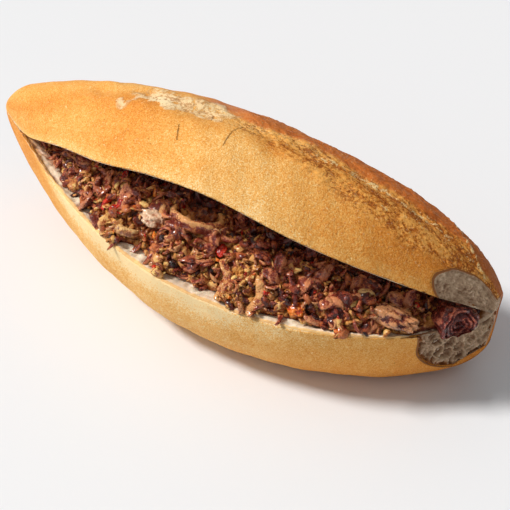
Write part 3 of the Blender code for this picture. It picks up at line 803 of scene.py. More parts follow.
def buildEndFace(name, upper, seed):
    # between the crust's arc and the mouth's line on the cut plane, pitted by two sizes of cell
    columns, rows = crumbLook["faceColumns"], crumbLook["faceRows"]
    along = np.linspace(0.0, 1.0, columns)
    turns = radians(180) * along if upper else 2 * np.pi - radians(180) * along
    inward = 1 - along if upper else along
    cut = lidCrumb if upper else lowerCrumb
    full = crumbLook["lidPits" if upper else "basePits"]

    def edge(share, turn):
        return crumbSkin(share, turn, crumbLook["lidRind" if upper else "baseRind"])

    arcEnds = endShares(edge, turns, lidShareOf(turns))
    cutEnds = endShares(cut, inward, mouthLidShare(inward) if upper else np.zeros(columns))
    arc, inside = edge(arcEnds, turns), cut(cutEnds, inward)
    across = np.linspace(0.0, 1.0, rows)[:, None]
    flat = arc * (1 - across[..., None]) + inside * across[..., None]
    size = np.linalg.norm(inside - arc, axis=-1)
    fromCrust = across * size
    warp = warpNoise(flat * 260, seed) * 0.0006
    deep = lidPits(flat, warp, seed) if upper else basePits(flat, warp, seed, fromCrust)
    deep *= rising(fromCrust, 0, 0.0007) * rising((1 - across) * size, 0, 0.0008)
    front = flat + cutNormal(upper) * (0.00012 - deep[..., None])
    short = crumbLook["faceDeep"] / loaf["length"]
    back = np.stack([edge(arcEnds - short, turns), cut(cutEnds - short, inward)])
    points = np.concatenate([front.reshape(-1, 3), back.reshape(-1, 3)])
    # the sides along both edges, then one polygon at each corner
    offset = rows * columns
    top, low, step = offset - columns, offset + columns, np.arange(columns - 1)
    quads = [gridFaces(rows, columns), gridFaces(2, columns, first=offset)[:, ::-1]]
    quads.append(np.stack([step + 1, step, offset + step, offset + step + 1], axis=-1))
    quads.append(np.stack([top + step, top + step + 1, low + step + 1, low + step], axis=-1))
    starts = np.arange(rows) * columns
    corners = [[*starts, low, offset], [*(starts[::-1] + columns - 1), low - 1, low + columns - 1]]
    rind = np.exp(-fromCrust / (0.0007 if upper else 0.0032))
    # the pit mark: each point's depth, painted as shade by the material
    marks = {"pit": np.append(deep / full, np.zeros(2 * columns))}
    marks["rind"] = np.append(rind, np.ones(2 * columns))
    return addMesh(name, points, [np.concatenate(quads), corners], marks)


crumb = buildCrumb()
lidFace = buildEndFace("lid_end_face", True, 71)
baseFace = buildEndFace("base_end_face", False, 81)


# the heap of filling

heap = {
    "from": 0.165,  # share of the length where its solid core begins
    "short": 0.002,
    # distances from the lower lip to the heap's front, at shares of the length
    "frontAt": [(0.10, 0.0060), (0.20, 0.0100), (0.28, 0.0085), (0.36, 0.0045), (0.40, 0.0015),
                (0.43, 0.0078), (0.47, 0.0085), (0.505, 0.0015), (0.54, 0.0075), (0.60, 0.0095),
                (0.64, 0.0020), (0.70, 0.0050), (0.77, 0.0070), (0.82, 0.0015), (0.855, 0.0055),
                (0.90, 0.0015), (0.95, 0.0020)],
    "back": 0.006,
    "behind": 0.0012,  # the core begins this far behind the heap's front
    "lastX": 0.136,
    "rise": 0.46,
    "slope": 0.55,
    "clear": 0.0007,
    "clump": 0.0016,  # half height of its broad lumps
    "sunk": 0.0004,  # the core lies this far under the bits' surface
    "granules": 340,  # granules in a metre
    "granuleTall": 0.0021,
    "rows": 620,
    "columns": 99,
}


def mouthRoom(share, y):
    # the lower crumb's height at this place, and the lid's, which has no limit in front of its lip
    lip, top, end = lipLine(share, False), lipLine(share, True), slitEnd(share)
    inward = np.clip((y - lip[..., 1]) / (end[..., 1] - lip[..., 1]), 0.0, 1.0)
    outward = (y - end[..., 1]) / (top[..., 1] - end[..., 1])
    roof = np.where(outward > 1.0, 1.0, lidCrumb(share, np.clip(outward, 0.0, 1.0))[..., 2])
    return lowerCrumb(share, inward)[..., 2], roof


def roomRound(points):
    # the same two heights at every point's own place
    return mouthRoom(np.clip(shareOf(points[..., 0]), 0.02, 1.0), points[..., 1])


def heapLines(share):
    # where the heap begins behind the lower lip, its run up the slope and its full height there
    lip = lipLine(share, False)
    front = lip[..., 1] + np.interp(share, *zip(*heap["frontAt"]))
    run = heap["slope"] * (slitEnd(share)[..., 1] - front)
    return front, run, heap["rise"] * (lipLine(share, True)[..., 2] - lip[..., 2])


def heapTop(share, y):
    # a steep rounded front, a lumpy slope, then close under the lid
    front, run, tall = heapLines(share)
    part = np.clip((y - front) / run, 0.0, 1.0)
    lumps = 0.0012 * np.sin(900 * y + 97 * share) * np.sin(113 * share + 350 * y)
    lumps = lumps + 0.0010 * np.sin(61 * share - 520 * y + 1.1)
    lumps = lumps + heap["clump"] * latticeNoise(joined(share * 28, y * 105, 0), 6)
    floor, roof = mouthRoom(share, y)
    top = floor + tall * (1.0 - (1.0 - part) ** 2.2) ** 0.75 + lumps * np.minimum(1.0, 4 * part)
    return np.maximum(np.minimum(top, roof - heap["clear"]), floor + 2 * heap["clear"])


def endX(y, short):
    # where the lower cut plane crosses this y, less a distance
    return (endCut["lowCut"] - short + y * math.sin(endCut["lowBias"])) / math.cos(endCut["lowBias"])


def slopePlace(share, y, size):
    # a flat place for noise over the heap, in lengths of some millimetres
    return joined(share * 280 / size, y * 1000 / size, 0)


def toneAndLidShadeAt(share, y, part):
    # how golden the meat is, 0 to 1: patches of one size and redder towards the tip, with painted shade that
    # darkens it under the lid
    trend = 0.20 * rising(share, 0.25, 0.25) - 0.40 * rising(part, 0.8, 0.4)
    return 0.42 + 0.42 * latticeNoise(slopePlace(share, y, 13), 5) + trend


def paintedShadeUnderLid(part):
    # painted shade: 1 where the heap runs in under the lid, where its colour is darkened as the lid's shade
    return rising(part, 0.58, 0.36)


def buildCore():
    # rings over the lower crumb and back over the top, where rounded granules with their own folds stand up
    start = xOf(heap["from"] - 0.035)
    step = np.linspace(0.0, 1.0, heap["rows"])[:, None]
    across = np.linspace(0.0, 1.0, heap["columns"])[None, :] ** 1.5
    x = start + step * 0.2 + 0 * across
    # its end follows the slanted cut, so x and y settle together in some rounds
    for _ in range(12):
        share = shareOf(x)
        front, run, _ = heapLines(share)
        front = front + heap["behind"]
        y = front + (slitEnd(share)[..., 1] - heap["back"] - front) * across
        x = start + step * (np.minimum(endX(y, heap["short"] + 0.001), heap["lastX"]) - start)
    share = shareOf(x)
    flat = joined(x, y, heapTop(share, y))
    warp = warpNoise(flat * 230, 91) * 0.0016
    near, second, number = cellNoise((flat + warp) * heap["granules"], 95)
    ball = np.sqrt(np.clip(1.0 - (near / 0.80) ** 2, 0.0, 1.0)) * smoothStep((second - near) / 0.12)
    small = cellNoise((flat + 1.5 * warp) * 2.3 * heap["granules"], 97)[0]
    folds = foldNoise(flat * 430, 99, 2)
    out = heap["granuleTall"] * (ball * (0.4 + number) - 0.5) + 0.0006 * (0.5 - small) + 0.0005 * folds
    out += 0.00035 * roughNoise(flat * 900, 98, 2)
    world = flat + slopeFrames(share, y)[2] * (out - heap["sunk"])[..., None]
    floor, roof = mouthRoom(share, world[..., 1])
    world[..., 2] = np.maximum(np.minimum(world[..., 2], roof - 0.0008), floor + 0.0006)
    # the underside has one column for each gap of the top's, and each closes that many at both ends
    gap = heap["columns"] // 14
    under = joined(x, y, mouthRoom(share, y)[0] + 0.0002)[:, ::gap]
    ring = np.concatenate([under, world[:, ::-1]], axis=1)
    rows, count = ring.shape[:2]
    column = np.arange(under.shape[1] - 1)[:, None]
    cap = np.concatenate([count - 1 - column * gap - np.arange(gap + 1), column + 1, column], axis=1)
    caps = np.concatenate([cap, (cap + (rows - 1) * count)[:, ::-1]])
    part = (y - heapLines(share)[0]) / run
    # the shade mark: golden patches and each granule's own number, darkened under the lid as painted shade
    toneAndShade = (toneAndLidShadeAt(share, y, part) + 0.55 * (number - 0.5)) * (1 - 0.8 * paintedShadeUnderLid(part))
    shade = np.concatenate([toneAndShade[:, ::gap], toneAndShade[:, ::-1]], axis=1)
    # the crest mark: painted light on the granules' tops and the folds' ridges, and painted shade under the
    # lid
    lit = np.clip(0.12 + 0.6 * ball + 0.4 * folds, 0, 1) * (1 - 0.75 * paintedShadeUnderLid(part))
    marks = {"crest": np.concatenate([0 * under[..., 0], lit[:, ::-1]], axis=1)}
    marks["shade"] = np.clip(shade, 0, 1)
    return addMesh("filling_core", ring.reshape(-1, 3), [gridFaces(rows, count, wrap=True), caps], marks)


# the larger pieces: where each stands on the heap (x, y), how far above its top, its turns about X, Y and Z
# in degrees or the heading of a strip, and the half sizes of the oval round it that stays clear of small bits
larger = {
    "end_roll": dict(at=(0.1255, 0.0105), lift=0.0010, turns=(0, -14, -34), clear=(0.0110, 0.0095)),
    "gut_ring": dict(at=(0.0065, -0.0155), lift=0.0018, turns=(-12, 4, 8), clear=(0.0128, 0.0095)),
    "gut_curl": dict(at=(-0.0225, -0.0300), lift=0.0012, turns=(-20, 0, 0), clear=(0.0075, 0.0060)),
    "fat_piece": dict(at=(-0.0130, -0.0225), lift=0.0010, turns=(0, 10, 25), clear=(0.0050, 0.0045)),
    "long_piece": dict(at=(0.1052, -0.0090), lift=0.0020, turns=(0, 6, 6), clear=(0.0105, 0.0052)),
    "tan_slice": dict(at=(0.0905, -0.0080), lift=0.0020, turns=(20, 0, 20), clear=(0.0040, 0.0026)),
    "oval_piece": dict(at=(0.1020, 0.0010), lift=0.0012, turns=(0, 0, 30), clear=(0.0032, 0.0026)),
    "pepper_piece": dict(at=(0.0235, -0.0225), lift=0.0021, turns=(15, 0, 10), clear=(0.0034, 0.0044)),
    "tomato_piece": dict(at=(0.0660, -0.0285), lift=0.0018, turns=(30, 0, -8), clear=(0.0052, 0.0040)),
    "gut_strip_1": dict(at=(0.0490, -0.0335), lift=0.0012, heading=104, clear=(0.0030, 0.0085)),
    "gut_strip_2": dict(at=(0.0315, -0.0335), lift=0.0012, heading=112, clear=(0.0034, 0.0085)),
    "pepper_strip_1": dict(at=(-0.0415, -0.0215), lift=0.0014, heading=104, clear=(0.0018, 0.0040)),
    "pepper_strip_2": dict(at=(-0.0340, -0.0225), lift=0.0014, heading=62, clear=(0.0030, 0.0036)),
}

# the chopped bits, one mesh for each kind: how many are wanted, lengths in millimetres, widths and
# thicknesses as shares of the length, bends in radians, lifts over the heap in millimetres, the part of the
# slope, rings and sides, and the size and sign of the clusters of the kinds that lie in some
bitKinds = {
    "meat_bits": dict(count=240, long=(4.2, 8.6), wide=(0.45, 0.85), thick=(0.25, 0.55), bend=(0.2, 2.2),
                      crinkle=0.42, lift=(-0.6, 1.3), part=(0.0, 1.3), fine=(6, 8), cluster=(13, -1)),
    "golden_bits": dict(count=320, long=(3.2, 7.2), wide=(0.45, 0.9), thick=(0.18, 0.45), bend=(0.6, 3.0),
                        crinkle=0.50, lift=(-0.1, 1.8), part=(-0.02, 1.12), fine=(5, 8), cluster=(13, 1)),
    "curled_bits": dict(count=240, long=(6.5, 12.5), wide=(0.13, 0.22), thick=(0.24, 0.42), bend=(2.2, 4.6),
                        crinkle=0.26, lift=(0.2, 1.9), part=(0.0, 1.12), fine=(9, 6), cluster=(13, 1)),
    "curd_bits": dict(count=190, long=(2.2, 4.8), wide=(0.6, 1.0), thick=(0.35, 0.75), bend=(0.0, 1.8),
                      crinkle=0.52, lift=(0.3, 1.9), part=(-0.05, 1.06), fine=(5, 8), cluster=(10, 1)),
    "shreds": dict(count=280, long=(7.5, 15.0), wide=(0.14, 0.26), thick=(0.10, 0.20), bend=(0.4, 2.6),
                   crinkle=0.28, lift=(0.1, 1.9), part=(0.0, 1.15), fine=(8, 6), cluster=(13, -1)),
    # near-black bits, sunk low: char, and painted shade in the gaps between the other bits
    "char_and_shadow_bits": dict(count=230, long=(3.6, 8.4), wide=(0.5, 0.85), thick=(0.3, 0.6), bend=(0.0, 1.8),
                      crinkle=0.42, lift=(-0.9, 0.8), part=(0.0, 1.4), fine=(5, 8), cluster=(9, -1)),
    "large_bits": dict(count=95, long=(8.5, 14.0), wide=(0.40, 0.70), thick=(0.26, 0.46), bend=(0.4, 2.6),
                       crinkle=0.34, lift=(0.2, 1.9), part=(0.02, 1.2), fine=(18, 20), cluster=(9, 1)),
    "red_bits": dict(count=34, long=(2.2, 6.0), wide=(0.3, 0.7), thick=(0.14, 0.35), bend=(0.2, 1.6),
                     crinkle=0.24, lift=(1.2, 2.3), part=(0.0, 1.0), fine=(5, 8)),
    "orange_bits": dict(count=22, long=(1.8, 4.4), wide=(0.4, 0.8), thick=(0.3, 0.6), bend=(0.0, 1.2),
                        crinkle=0.30, lift=(1.0, 2.1), part=(-0.03, 0.9), fine=(5, 8)),
    "herb_bits": dict(count=120, long=(0.5, 1.3), wide=(0.4, 0.8), thick=(0.12, 0.3), bend=(0.0, 1.0),
                      crinkle=0.2, lift=(1.6, 2.6), part=(-0.02, 1.0), fine=(2, 6)),
}

bitSpread = {
    "tries": 2.6,  # places tried for each bit that is wanted
    "from": 0.150,  # the share of the length where they begin, and the share that they take up
    "along": 0.837,
    "jitter": 0.0008,
    "endClear": 0.004,
    "room": 0.004,  # least height between the lower crumb and the lid
    "tilt": 50,  # degrees, to both sides
}


def spreadSpots(draw, kind):
    # even but unordered places on the slope: two steady sequences with jitter, thinned to the slope's width
    wanted = int(kind["count"] * bitSpread["tries"])
    index = np.arange(wanted) + draw.uniform(0, 999)
    share = bitSpread["from"] + bitSpread["along"] * ((index * 0.7548776662) % 1.0)
    low, high = kind["part"]
    part = low + (high - low) * ((index * 0.5698402910) % 1.0)
    front, run, _ = heapLines(share)
    y = front - 0.0006 + run * part + draw.uniform(-bitSpread["jitter"], bitSpread["jitter"], wanted)
    keep = draw.uniform(0, 1, wanted) < run / run.max()
    if "cluster" in kind:
        size, sign = kind["cluster"]
        limit = -0.35 + 0.25 * draw.uniform(-1, 1, wanted)
        keep &= sign * latticeNoise(slopePlace(share, y, size), 5) > limit
    floor, roof = mouthRoom(share, y)
    keep &= (xOf(share) < endX(y, bitSpread["endClear"])) & (roof - floor > bitSpread["room"])
    chosen = np.nonzero(keep)[0][: kind["count"]]
    return share[chosen], y[chosen]


def slopeFrames(share, y):
    # two directions in the heap's surface and its normal, by small steps
    small = 0.0008
    alongX = heapTop(share + small / loaf["length"], y) - heapTop(share - small / loaf["length"], y)
    alongY = heapTop(share, y + small) - heapTop(share, y - small)
    normal = joined(-alongX, np.clip(-alongY, -2.5 * small, 2.5 * small), 2 * small)
    normal /= np.linalg.norm(normal, axis=-1, keepdims=True)
    first = np.cross(np.array([0.0, 1.0, 0.0]), normal)
    first /= np.linalg.norm(first, axis=-1, keepdims=True)
    return first, np.cross(normal, first), normal


def bitForms(draw, kind, count):
    # an oval body along a bent spine: its radius is a sum of waves round and along it, with its own phases
    rings, sides = kind["fine"]
    steps = np.cos(np.pi * (np.arange(rings) + 0.75) / (rings + 0.5))[::-1]
    around = 2 * np.pi * np.arange(sides) / sides
    u, v = (grid[None] for grid in np.meshgrid(steps, around, indexing="ij"))

    def each(low, high):
        return draw.uniform(low, high, count)[:, None, None]

    radius = 1.0 + 0 * u
    for wave in range(1, 5):
        tall = kind["crinkle"] * each(0.3, 1.0) / wave**0.6
        radius = radius + tall * np.sin(wave * v + each(0, 6.3) + each(-3.0, 3.0) * u * wave)
    radius = np.clip(radius, 0.35, 1.8)
    full = (1.0 - np.abs(u) ** each(1.8, 3.2)) ** 0.5
    length = each(*kind["long"]) * 0.001
    width = length * each(*kind["wide"])
    thick = length * each(*kind["thick"])
    x = u * length / 2 * (1 + 0.12 * np.sin(2 * v + each(0, 6.3)))
    y = full * radius * np.cos(v) * width / 2
    z = full * radius * np.sin(v) * thick / 2 + thick * each(-0.4, 0.4) * np.sin(2.6 * u + each(0, 6.3))
    curl = each(*kind["bend"]) * np.where(each(0, 1) > 0.5, 1.0, -1.0)
    arm = length / np.where(np.abs(curl) < 0.05, 0.05, curl)
    points = joined((arm + y) * np.sin(x / arm), (arm + y) * np.cos(x / arm) - arm, z)
    ends = np.stack([points[:, 0].mean(axis=1), points[:, -1].mean(axis=1)], axis=1)
    reach = (ends - points[:, [1, -2]].mean(axis=2)) * 0.35
    # crest: painted light where the bit bulges out, painted shade where it dips in
    crest = np.clip((radius - 0.65) / 0.9, 0, 1)
    return points, ends + reach, crest


def endFans(count, sides):
    # the fans that close a tube of so many rings, whose two end points are numbered after them
    tip = count * sides
    return np.concatenate([fanFaces(sides, tip), fanFaces(sides, tip + 1, tip - sides, turned=True)])


def buildBits(name, kind, seed):
    # each bit turned at random, set on the slope's own directions, and left out where it would not fit
    draw = np.random.default_rng(seed)
    share, y = spreadSpots(draw, kind)
    count = len(share)
    points, ends, crest = bitForms(draw, kind, count)
    rings, sides = kind["fine"]
    body = np.concatenate([points.reshape(count, -1, 3), ends], axis=1)
    body -= body.mean(axis=1, keepdims=True)
    if rings > 12:
        # folds: each point moves out or in by ridged noise over its own bit
        place = body * 520 + 40.0 * np.arange(count)[:, None, None]
        body = body * (1 + 0.15 * foldNoise(place, seed, 2))[..., None]
    most = bitSpread["tilt"]
    tilt = np.radians(draw.uniform([-most, -most, 0], [most, most, 360], (count, 3)))[:, None]
    # turns about the bit's own three axes, one after another
    for axis, (a, b) in enumerate(((1, 2), (2, 0), (0, 1))):
        c, s = np.cos(tilt[..., axis]), np.sin(tilt[..., axis])
        body[..., a], body[..., b] = body[..., a] * c - body[..., b] * s, body[..., a] * s + body[..., b] * c
    lift = draw.uniform(*kind["lift"], count) * 0.001
    frames = np.stack(slopeFrames(share, y), axis=1)
    x = xOf(share)
    middle = joined(x, y, heapTop(share, y)) + frames[:, 2] * lift[:, None]
    world = middle[:, None] + body @ frames
    # nothing sinks into the lower crumb or rises into the lid
    low, high = roomRound(world)
    world[..., 2] = np.maximum(world[..., 2], np.minimum(low + 0.0002, world[..., 2] + 0.004))
    fits = (world[..., 2] < high - 0.0003).all(axis=1)
    fits &= (world[..., 0] < endX(world[..., 1], 0.0005)).all(axis=1)
    for piece in larger.values():
        (px, py), (rx, ry) = piece["at"], piece["clear"]
        inside = ((x - px) / rx) ** 2 + ((y - py) / ry) ** 2 < 1.0
        fits &= ~(inside & (lift > -0.0006))
    front, run, _ = heapLines(share)
    # painted shade under the lid: each bit's crest and shade marks are darkened there
    lit = (1 - 0.85 * paintedShadeUnderLid((y - front) / run))[fits]
    world, crest = world[fits], crest[fits] * lit[:, None, None]
    count = len(world)
    each = rings * sides + 2
    start = (np.arange(count) * each)[:, None, None]
    quads = (gridFaces(rings, sides, wrap=True) + start).reshape(-1, 4)
    fans = (endFans(rings, sides) + start).reshape(-1, 3)
    # shade: a random tone for each bit, times the painted shade under the lid
    marks = {"shade": np.repeat(draw.uniform(0, 1, count) * lit, each)}
    marks["crest"] = np.concatenate([crest.reshape(count, -1), np.full((count, 2), 0.5)], axis=1)
    print(name, count, "bits")
    return addMesh(name, world.reshape(-1, 3), [quads, fans], marks)


core = buildCore()
bits = {name: buildBits(name, kind, 100 + number) for number, (name, kind) in enumerate(bitKinds.items())}


# the larger pieces, each at its CAD node's place on the heap


def setOnHeap(points, node):
    # turned about X, Y and then Z, set on the heap's top there, and held between the lower crumb and the lid
    x, y = larger[node]["at"]
    turn = Matrix.Identity(3)
    for axis, angle in zip("XYZ", larger[node]["turns"]):
        turn = Matrix.Rotation(radians(angle), 3, axis) @ turn
    base = float(heapTop(np.array([shareOf(x)]), np.array([y]))[0])
    world = points @ np.array(turn).T + np.array([x, y, base + larger[node]["lift"]])
    floor, roof = roomRound(world)
    world[..., 2] = np.maximum(np.minimum(world[..., 2], roof - 0.0005), floor + 0.0004)
    return world


def bandRings(route, width, height, sides, ruffle, seed):
    # an oval band along a route: noise swells it, waves that run along it ruffle its edge, folds wrinkle it
    ahead = np.gradient(route, axis=0)
    ahead /= np.linalg.norm(ahead, axis=1, keepdims=True)
    aside = np.cross(ahead, np.array([0.0, 0.0, 1.0]))
    aside /= np.linalg.norm(aside, axis=1, keepdims=True)
    up = np.cross(aside, ahead)
    turn = (2 * np.pi * np.arange(sides) / sides)[None, :]
    along = np.linspace(0, 1, len(route))[:, None]
    swell = 1.0 + 0.16 * roughNoise(joined(along * 9, 1.2 * np.cos(turn), 1.2 * np.sin(turn)), seed, 2)
    ripple = ruffle * np.sin(along * 23 + seed) * np.cos(turn) + 0.5 * ruffle * np.sin(along * 51 + 2 * seed)
    across = (width[:, None] * swell * np.cos(turn))[..., None] * aside[:, None]
    rise = (height[:, None] * (swell * np.sin(turn) + ripple))[..., None] * up[:, None]
    # side: painted light, lighter on the upper side and towards one flank
    side = 0.8 * np.sin(turn) - 0.45 * np.cos(turn) + 0 * along
    rings = route[:, None] + across + rise
    outward = rings - route[:, None]
    outward /= np.linalg.norm(outward, axis=-1, keepdims=True)
    rings = rings + outward * (0.00032 * foldNoise(rings * 480, seed + 4, 3))[..., None]
    # crest: painted light where the band swells out
    return rings, {"side": side, "crest": np.clip(0.5 + 2.2 * (swell - 1), 0, 1)}


def ovalArc(radiusX, radiusY, start, sweep, count, rise):
    # part of an oval, climbing by rise
    part = np.linspace(0, 1, count)
    turn = np.radians(start + sweep * part)
    return joined(radiusX * np.cos(turn), radiusY * np.sin(turn), rise * part)


def tapered(count, full, end=0.35):
    # swells from its ends to the full size by a sine's root
    return full * (end + (1 - end) * np.sin(np.pi * np.linspace(0, 1, count)) ** 0.5)


def addBand(name, rings, marks):
    # a body through rings, closed by a middle point at each end
    ends = [rings[0].mean(axis=0), rings[-1].mean(axis=0)]
    points = np.concatenate([rings.reshape(-1, 3), ends])
    marks = {mark: np.append(values, [values[0].mean(), values[-1].mean()]) for mark, values in marks.items()}
    return addMesh(name, points, [gridFaces(*rings.shape[:2], wrap=True), endFans(*rings.shape[:2])], marks)


def buildLump(name, node, size, crinkle, scale, seed, fine=(44, 60)):
    # a ball pulled to three half sizes; its radius follows rough noise over the ball
    rows, sides = fine
    polar = (np.pi * (np.arange(rows) + 0.5) / rows)[:, None]
    around = 2 * np.pi * np.arange(sides) / sides
    ball = joined(np.cos(polar), np.sin(polar) * np.cos(around), np.sin(polar) * np.sin(around))
    rough = roughNoise(ball * scale + seed * 3.7, seed, 4)
    rings = ball * np.array(size) * (1 + crinkle * rough)[..., None]
    # crest: painted light where the noise pushes the surface out; side: painted light on the top and painted
    # shade underneath
    return addBand(name, setOnHeap(rings, node), {"crest": np.clip(0.5 + rough, 0, 1), "side": ball[..., 2]})


def drapedRoute(route, node):
    # a route turned by its heading and laid on the heap's slope
    x, y = larger[node]["at"]
    turn = radians(larger[node]["heading"])
    laid = joined(route[:, 0] * math.cos(turn) - route[:, 1] * math.sin(turn) + x,
                  route[:, 0] * math.sin(turn) + route[:, 1] * math.cos(turn) + y, route[:, 2])
    laid[:, 2] += heapTop(shareOf(laid[:, 0]), laid[:, 1]) + larger[node]["lift"]
    return laid


def buildArc(name, node, arc, count, width, height, sides, ruffle, seed):
    # a band bent along part of an oval, thinner towards its ends
    route = ovalArc(*arc, count, 0.001)
    rings, marks = bandRings(route, tapered(count, width), tapered(count, height), sides, ruffle, seed)
    return addBand(name, setOnHeap(rings, node), marks)


def buildStrip(name, node, half, wave, width, height, seed):
    # a ruffled band that winds to both sides of its heading, draped over the slope
    part = np.linspace(-1, 1, 60)
    laid = drapedRoute(joined(half * part, wave * np.sin(4 * (part + 1)), 0), node)
    rings, marks = bandRings(laid, tapered(60, width), tapered(60, height), 22, 0.22, seed)
    floor, roof = roomRound(rings)
    rings[..., 2] = np.clip(rings[..., 2], floor + 0.0003, roof - 0.0005)
    return addBand(name, rings, marks)


def buildEndRoll():
    # a barrel whose front face is wound: its depth follows the share of a turn since the last layer
    rows, backRows, sides, wide = 96, 34, 120, 0.0099
    around = (2 * np.pi * np.arange(sides) / sides)[None, :]
    back = np.linspace(0, 1, backRows)[:, None]
    radiusBack = wide * np.sin(0.5 * np.pi * np.clip(back * 1.02 + 0.12, 0, 1)) ** 0.6
    front = np.linspace(0, 1, rows - backRows)[:, None]
    radiusFront = wide * (1 - 0.95 * front)
    wander = latticeNoise(joined(radiusFront * 260, 1.3 * np.cos(around), 1.3 * np.sin(around)), 13)
    layer = (radiusFront / 0.0022 + around / (2 * np.pi) + 0.42 * wander) % 1.0
    ridge = np.sin(np.pi * layer) ** 0.6
    hollow = bump(radiusFront, 0.0, 0.0024)
    alongFront = 0.0075 + 0.0012 * ridge * smoothStep(front / 0.10) - 0.0030 * hollow + 0.0012 * wander
    radius = np.concatenate([radiusBack, radiusFront])
    along = np.concatenate([-0.0101 + 0.0176 * back + 0 * around, alongFront])
    out = radius * (1.0 + 0.07 * np.sin(3 * around + 400 * along) + 0.05 * np.sin(7 * around + 1.0))
    rings = joined(along, out * np.cos(around), 0.86 * out * np.sin(around))
    rough = roughNoise(rings * 420, 17, 3)
    # crest: painted light on proud places and on the layers' ridges, and painted shade down the middle hollow
    crest = np.clip(0.25 + 0.40 * rough, 0, 1)
    crest[backRows:] = np.clip(0.10 + 0.34 * ridge**3 - 0.20 * hollow + 0.22 * rough[backRows:], 0, 1)
    rings = setOnHeap(rings * (1 + 0.05 * rough[..., None]), "end_roll")
    return addBand("end_roll_meat", rings, {"crest": crest, "side": 0 * along})


pieces = {}
# name, the oval's half sizes, first angle and sweep, steps, half width and height, sides, ruffle, seed
arcs = {
    "gut_ring": ("gut_ring_meat", (0.0118, 0.0085, 160, 250), 90, 0.0017, 0.0031, 28, 0.06, 3),
    "gut_curl": ("gut_curl_meat", (0.0056, 0.0050, 100, 250), 60, 0.0021, 0.0021, 26, 0.10, 5),
}
for node, (name, *form) in arcs.items():
    pieces[node] = buildArc(name, node, *form)
pieces["end_roll"] = buildEndRoll()
# name, half sizes, height and size of the noise, seed, and rings and sides where they differ
lumps = {
    "fat_piece": ("fat_meat", (0.0062, 0.0046, 0.0030), 0.34, 2.1, 3),
    "long_piece": ("long_meat", (0.0110, 0.0052, 0.0050), 0.24, 3.0, 5, (70, 60)),
    "tan_slice": ("tan_slice_meat", (0.0044, 0.0018, 0.0044), 0.14, 2.0, 6),
    "oval_piece": ("oval_meat", (0.0034, 0.0024, 0.0022), 0.22, 2.4, 8),
    "pepper_piece": ("pepper_bit_large", (0.0024, 0.0035, 0.0016), 0.16, 1.6, 9),
    "tomato_piece": ("tomato_bit_large", (0.0042, 0.0030, 0.0020), 0.26, 2.0, 4),
}
for node, (name, *form) in lumps.items():
    pieces[node] = buildLump(name, node, *form)
# name, half length, wave, half width and height, seed
strips = {
    "gut_strip_1": ("gut_strip_meat_1", 0.0085, 0.0016, 0.0024, 0.0013, 7),
    "gut_strip_2": ("gut_strip_meat_2", 0.0085, 0.0016, 0.0024, 0.0013, 9),
    "pepper_strip_1": ("pepper_strip_red_1", 0.0042, 0.0008, 0.0014, 0.0009, 2),
    "pepper_strip_2": ("pepper_strip_red_2", 0.0042, 0.0008, 0.0014, 0.0009, 4),
}
for node, (name, *form) in strips.items():
    pieces[node] = buildStrip(name, node, *form)
print("larger pieces built")


# effects that several materials share


def makeSpeckleGroup():
    # fine pale and dark specks, two masks from two sizes of noise
    group, given, put = startGroup("fine_specks", ["Place"], ["Scale"], ["Pale", "Dark", "Height"])
    fine = noiseAt(group, given["Place"], given["Scale"], 3.0, 0.6)
    coarse = noiseAt(group, given["Place"], times(group, given["Scale"], 0.37), 3.0, 0.6)
    dark = times(group, between(group, fine, 0.40, 0.28), between(group, coarse, 0.50, 0.38))
    pale = between(group, fine, 0.55, 0.72)
    setInputs(group, put, {"Pale": pale, "Dark": dark, "Height": plus(group, fine, coarse)})
    return group


def makeMeatGroup():
    # a moist surface: streaks, tiny folds and droplets as a height, and a mask of lighter places: fatty
    # patches from noise, with painted light on the crest mark and on the folds' ridges
    group, given, put = startGroup("meat_surface", ["Place"], ["Crest"], ["Height", "Light", "Wet"])
    folds = noiseAt(group, given["Place"], 900.0, 4.0, 0.62, 1.2)
    broad = noiseAt(group, given["Place"], 260.0, 3.0, 0.55, 0.6)
    height = plus(group, folds, times(group, cellsAt(group, given["Place"], 1300.0), -0.35))
    # painted light from the crest mark and the folds' ridges; the broad noise gives the fatty patches
    light = plus(group, times(group, given["Crest"], 0.58), times(group, broad, 0.55), -0.295, folds)
    wet = between(group, broad, 0.62, 0.40)
    setInputs(group, put, {"Height": height, "Light": between(group, light, 0.57, 0.86), "Wet": wet})
    return group


# cracks in the crust, from point to point: millimetres along the loaf and round it (300 for a whole turn)
cracks = [
    [(156.4, 46.6), (155.5, 37.5), (156.4, 26.6)],
    [(140.3, 47.5), (142.3, 41.6)],
    [(131.9, 29.5), (135.2, 21.2)],
]


def makeCrackGroup():
    # a mask along one straight stretch: 1 where the distance to it, wavered by noise, is under its width
    group, given, put = startGroup("crack_line", ["Place", "From", "To"], ["Width"], ["Mask"])

    def vector(operation, a, b=None, scale=None):
        values = {0: a, 1: b, "Scale": scale}
        values = {name: value for name, value in values.items() if value is not None}
        made = addNode(group, "ShaderNodeVectorMath", values, operation=operation)
        return made.outputs["Value" if operation in ("DOT_PRODUCT", "LENGTH") else "Vector"]

    run = vector("SUBTRACT", given["To"], given["From"])
    away = vector("SUBTRACT", given["Place"], given["From"])
    onRun, whole = vector("DOT_PRODUCT", away, run), vector("DOT_PRODUCT", run, run)
    part = calc(group, "DIVIDE", onRun, whole, clamp=True)
    distance = vector("LENGTH", vector("SUBTRACT", away, vector("SCALE", run, scale=part)))
    waver = calc(group, "SUBTRACT", noiseAt(group, given["Place"], 1.1, 5.0, 0.85), 0.5)
    distance = calc(group, "ABSOLUTE", plus(group, distance, times(group, waver, 3.6)))
    setInputs(group, put, {"Mask": between(group, distance, given["Width"], 0.0)})
    return group


specks = makeSpeckleGroup()
meatSurface = makeMeatGroup()
crackLine = makeCrackGroup()


# the bread's materials


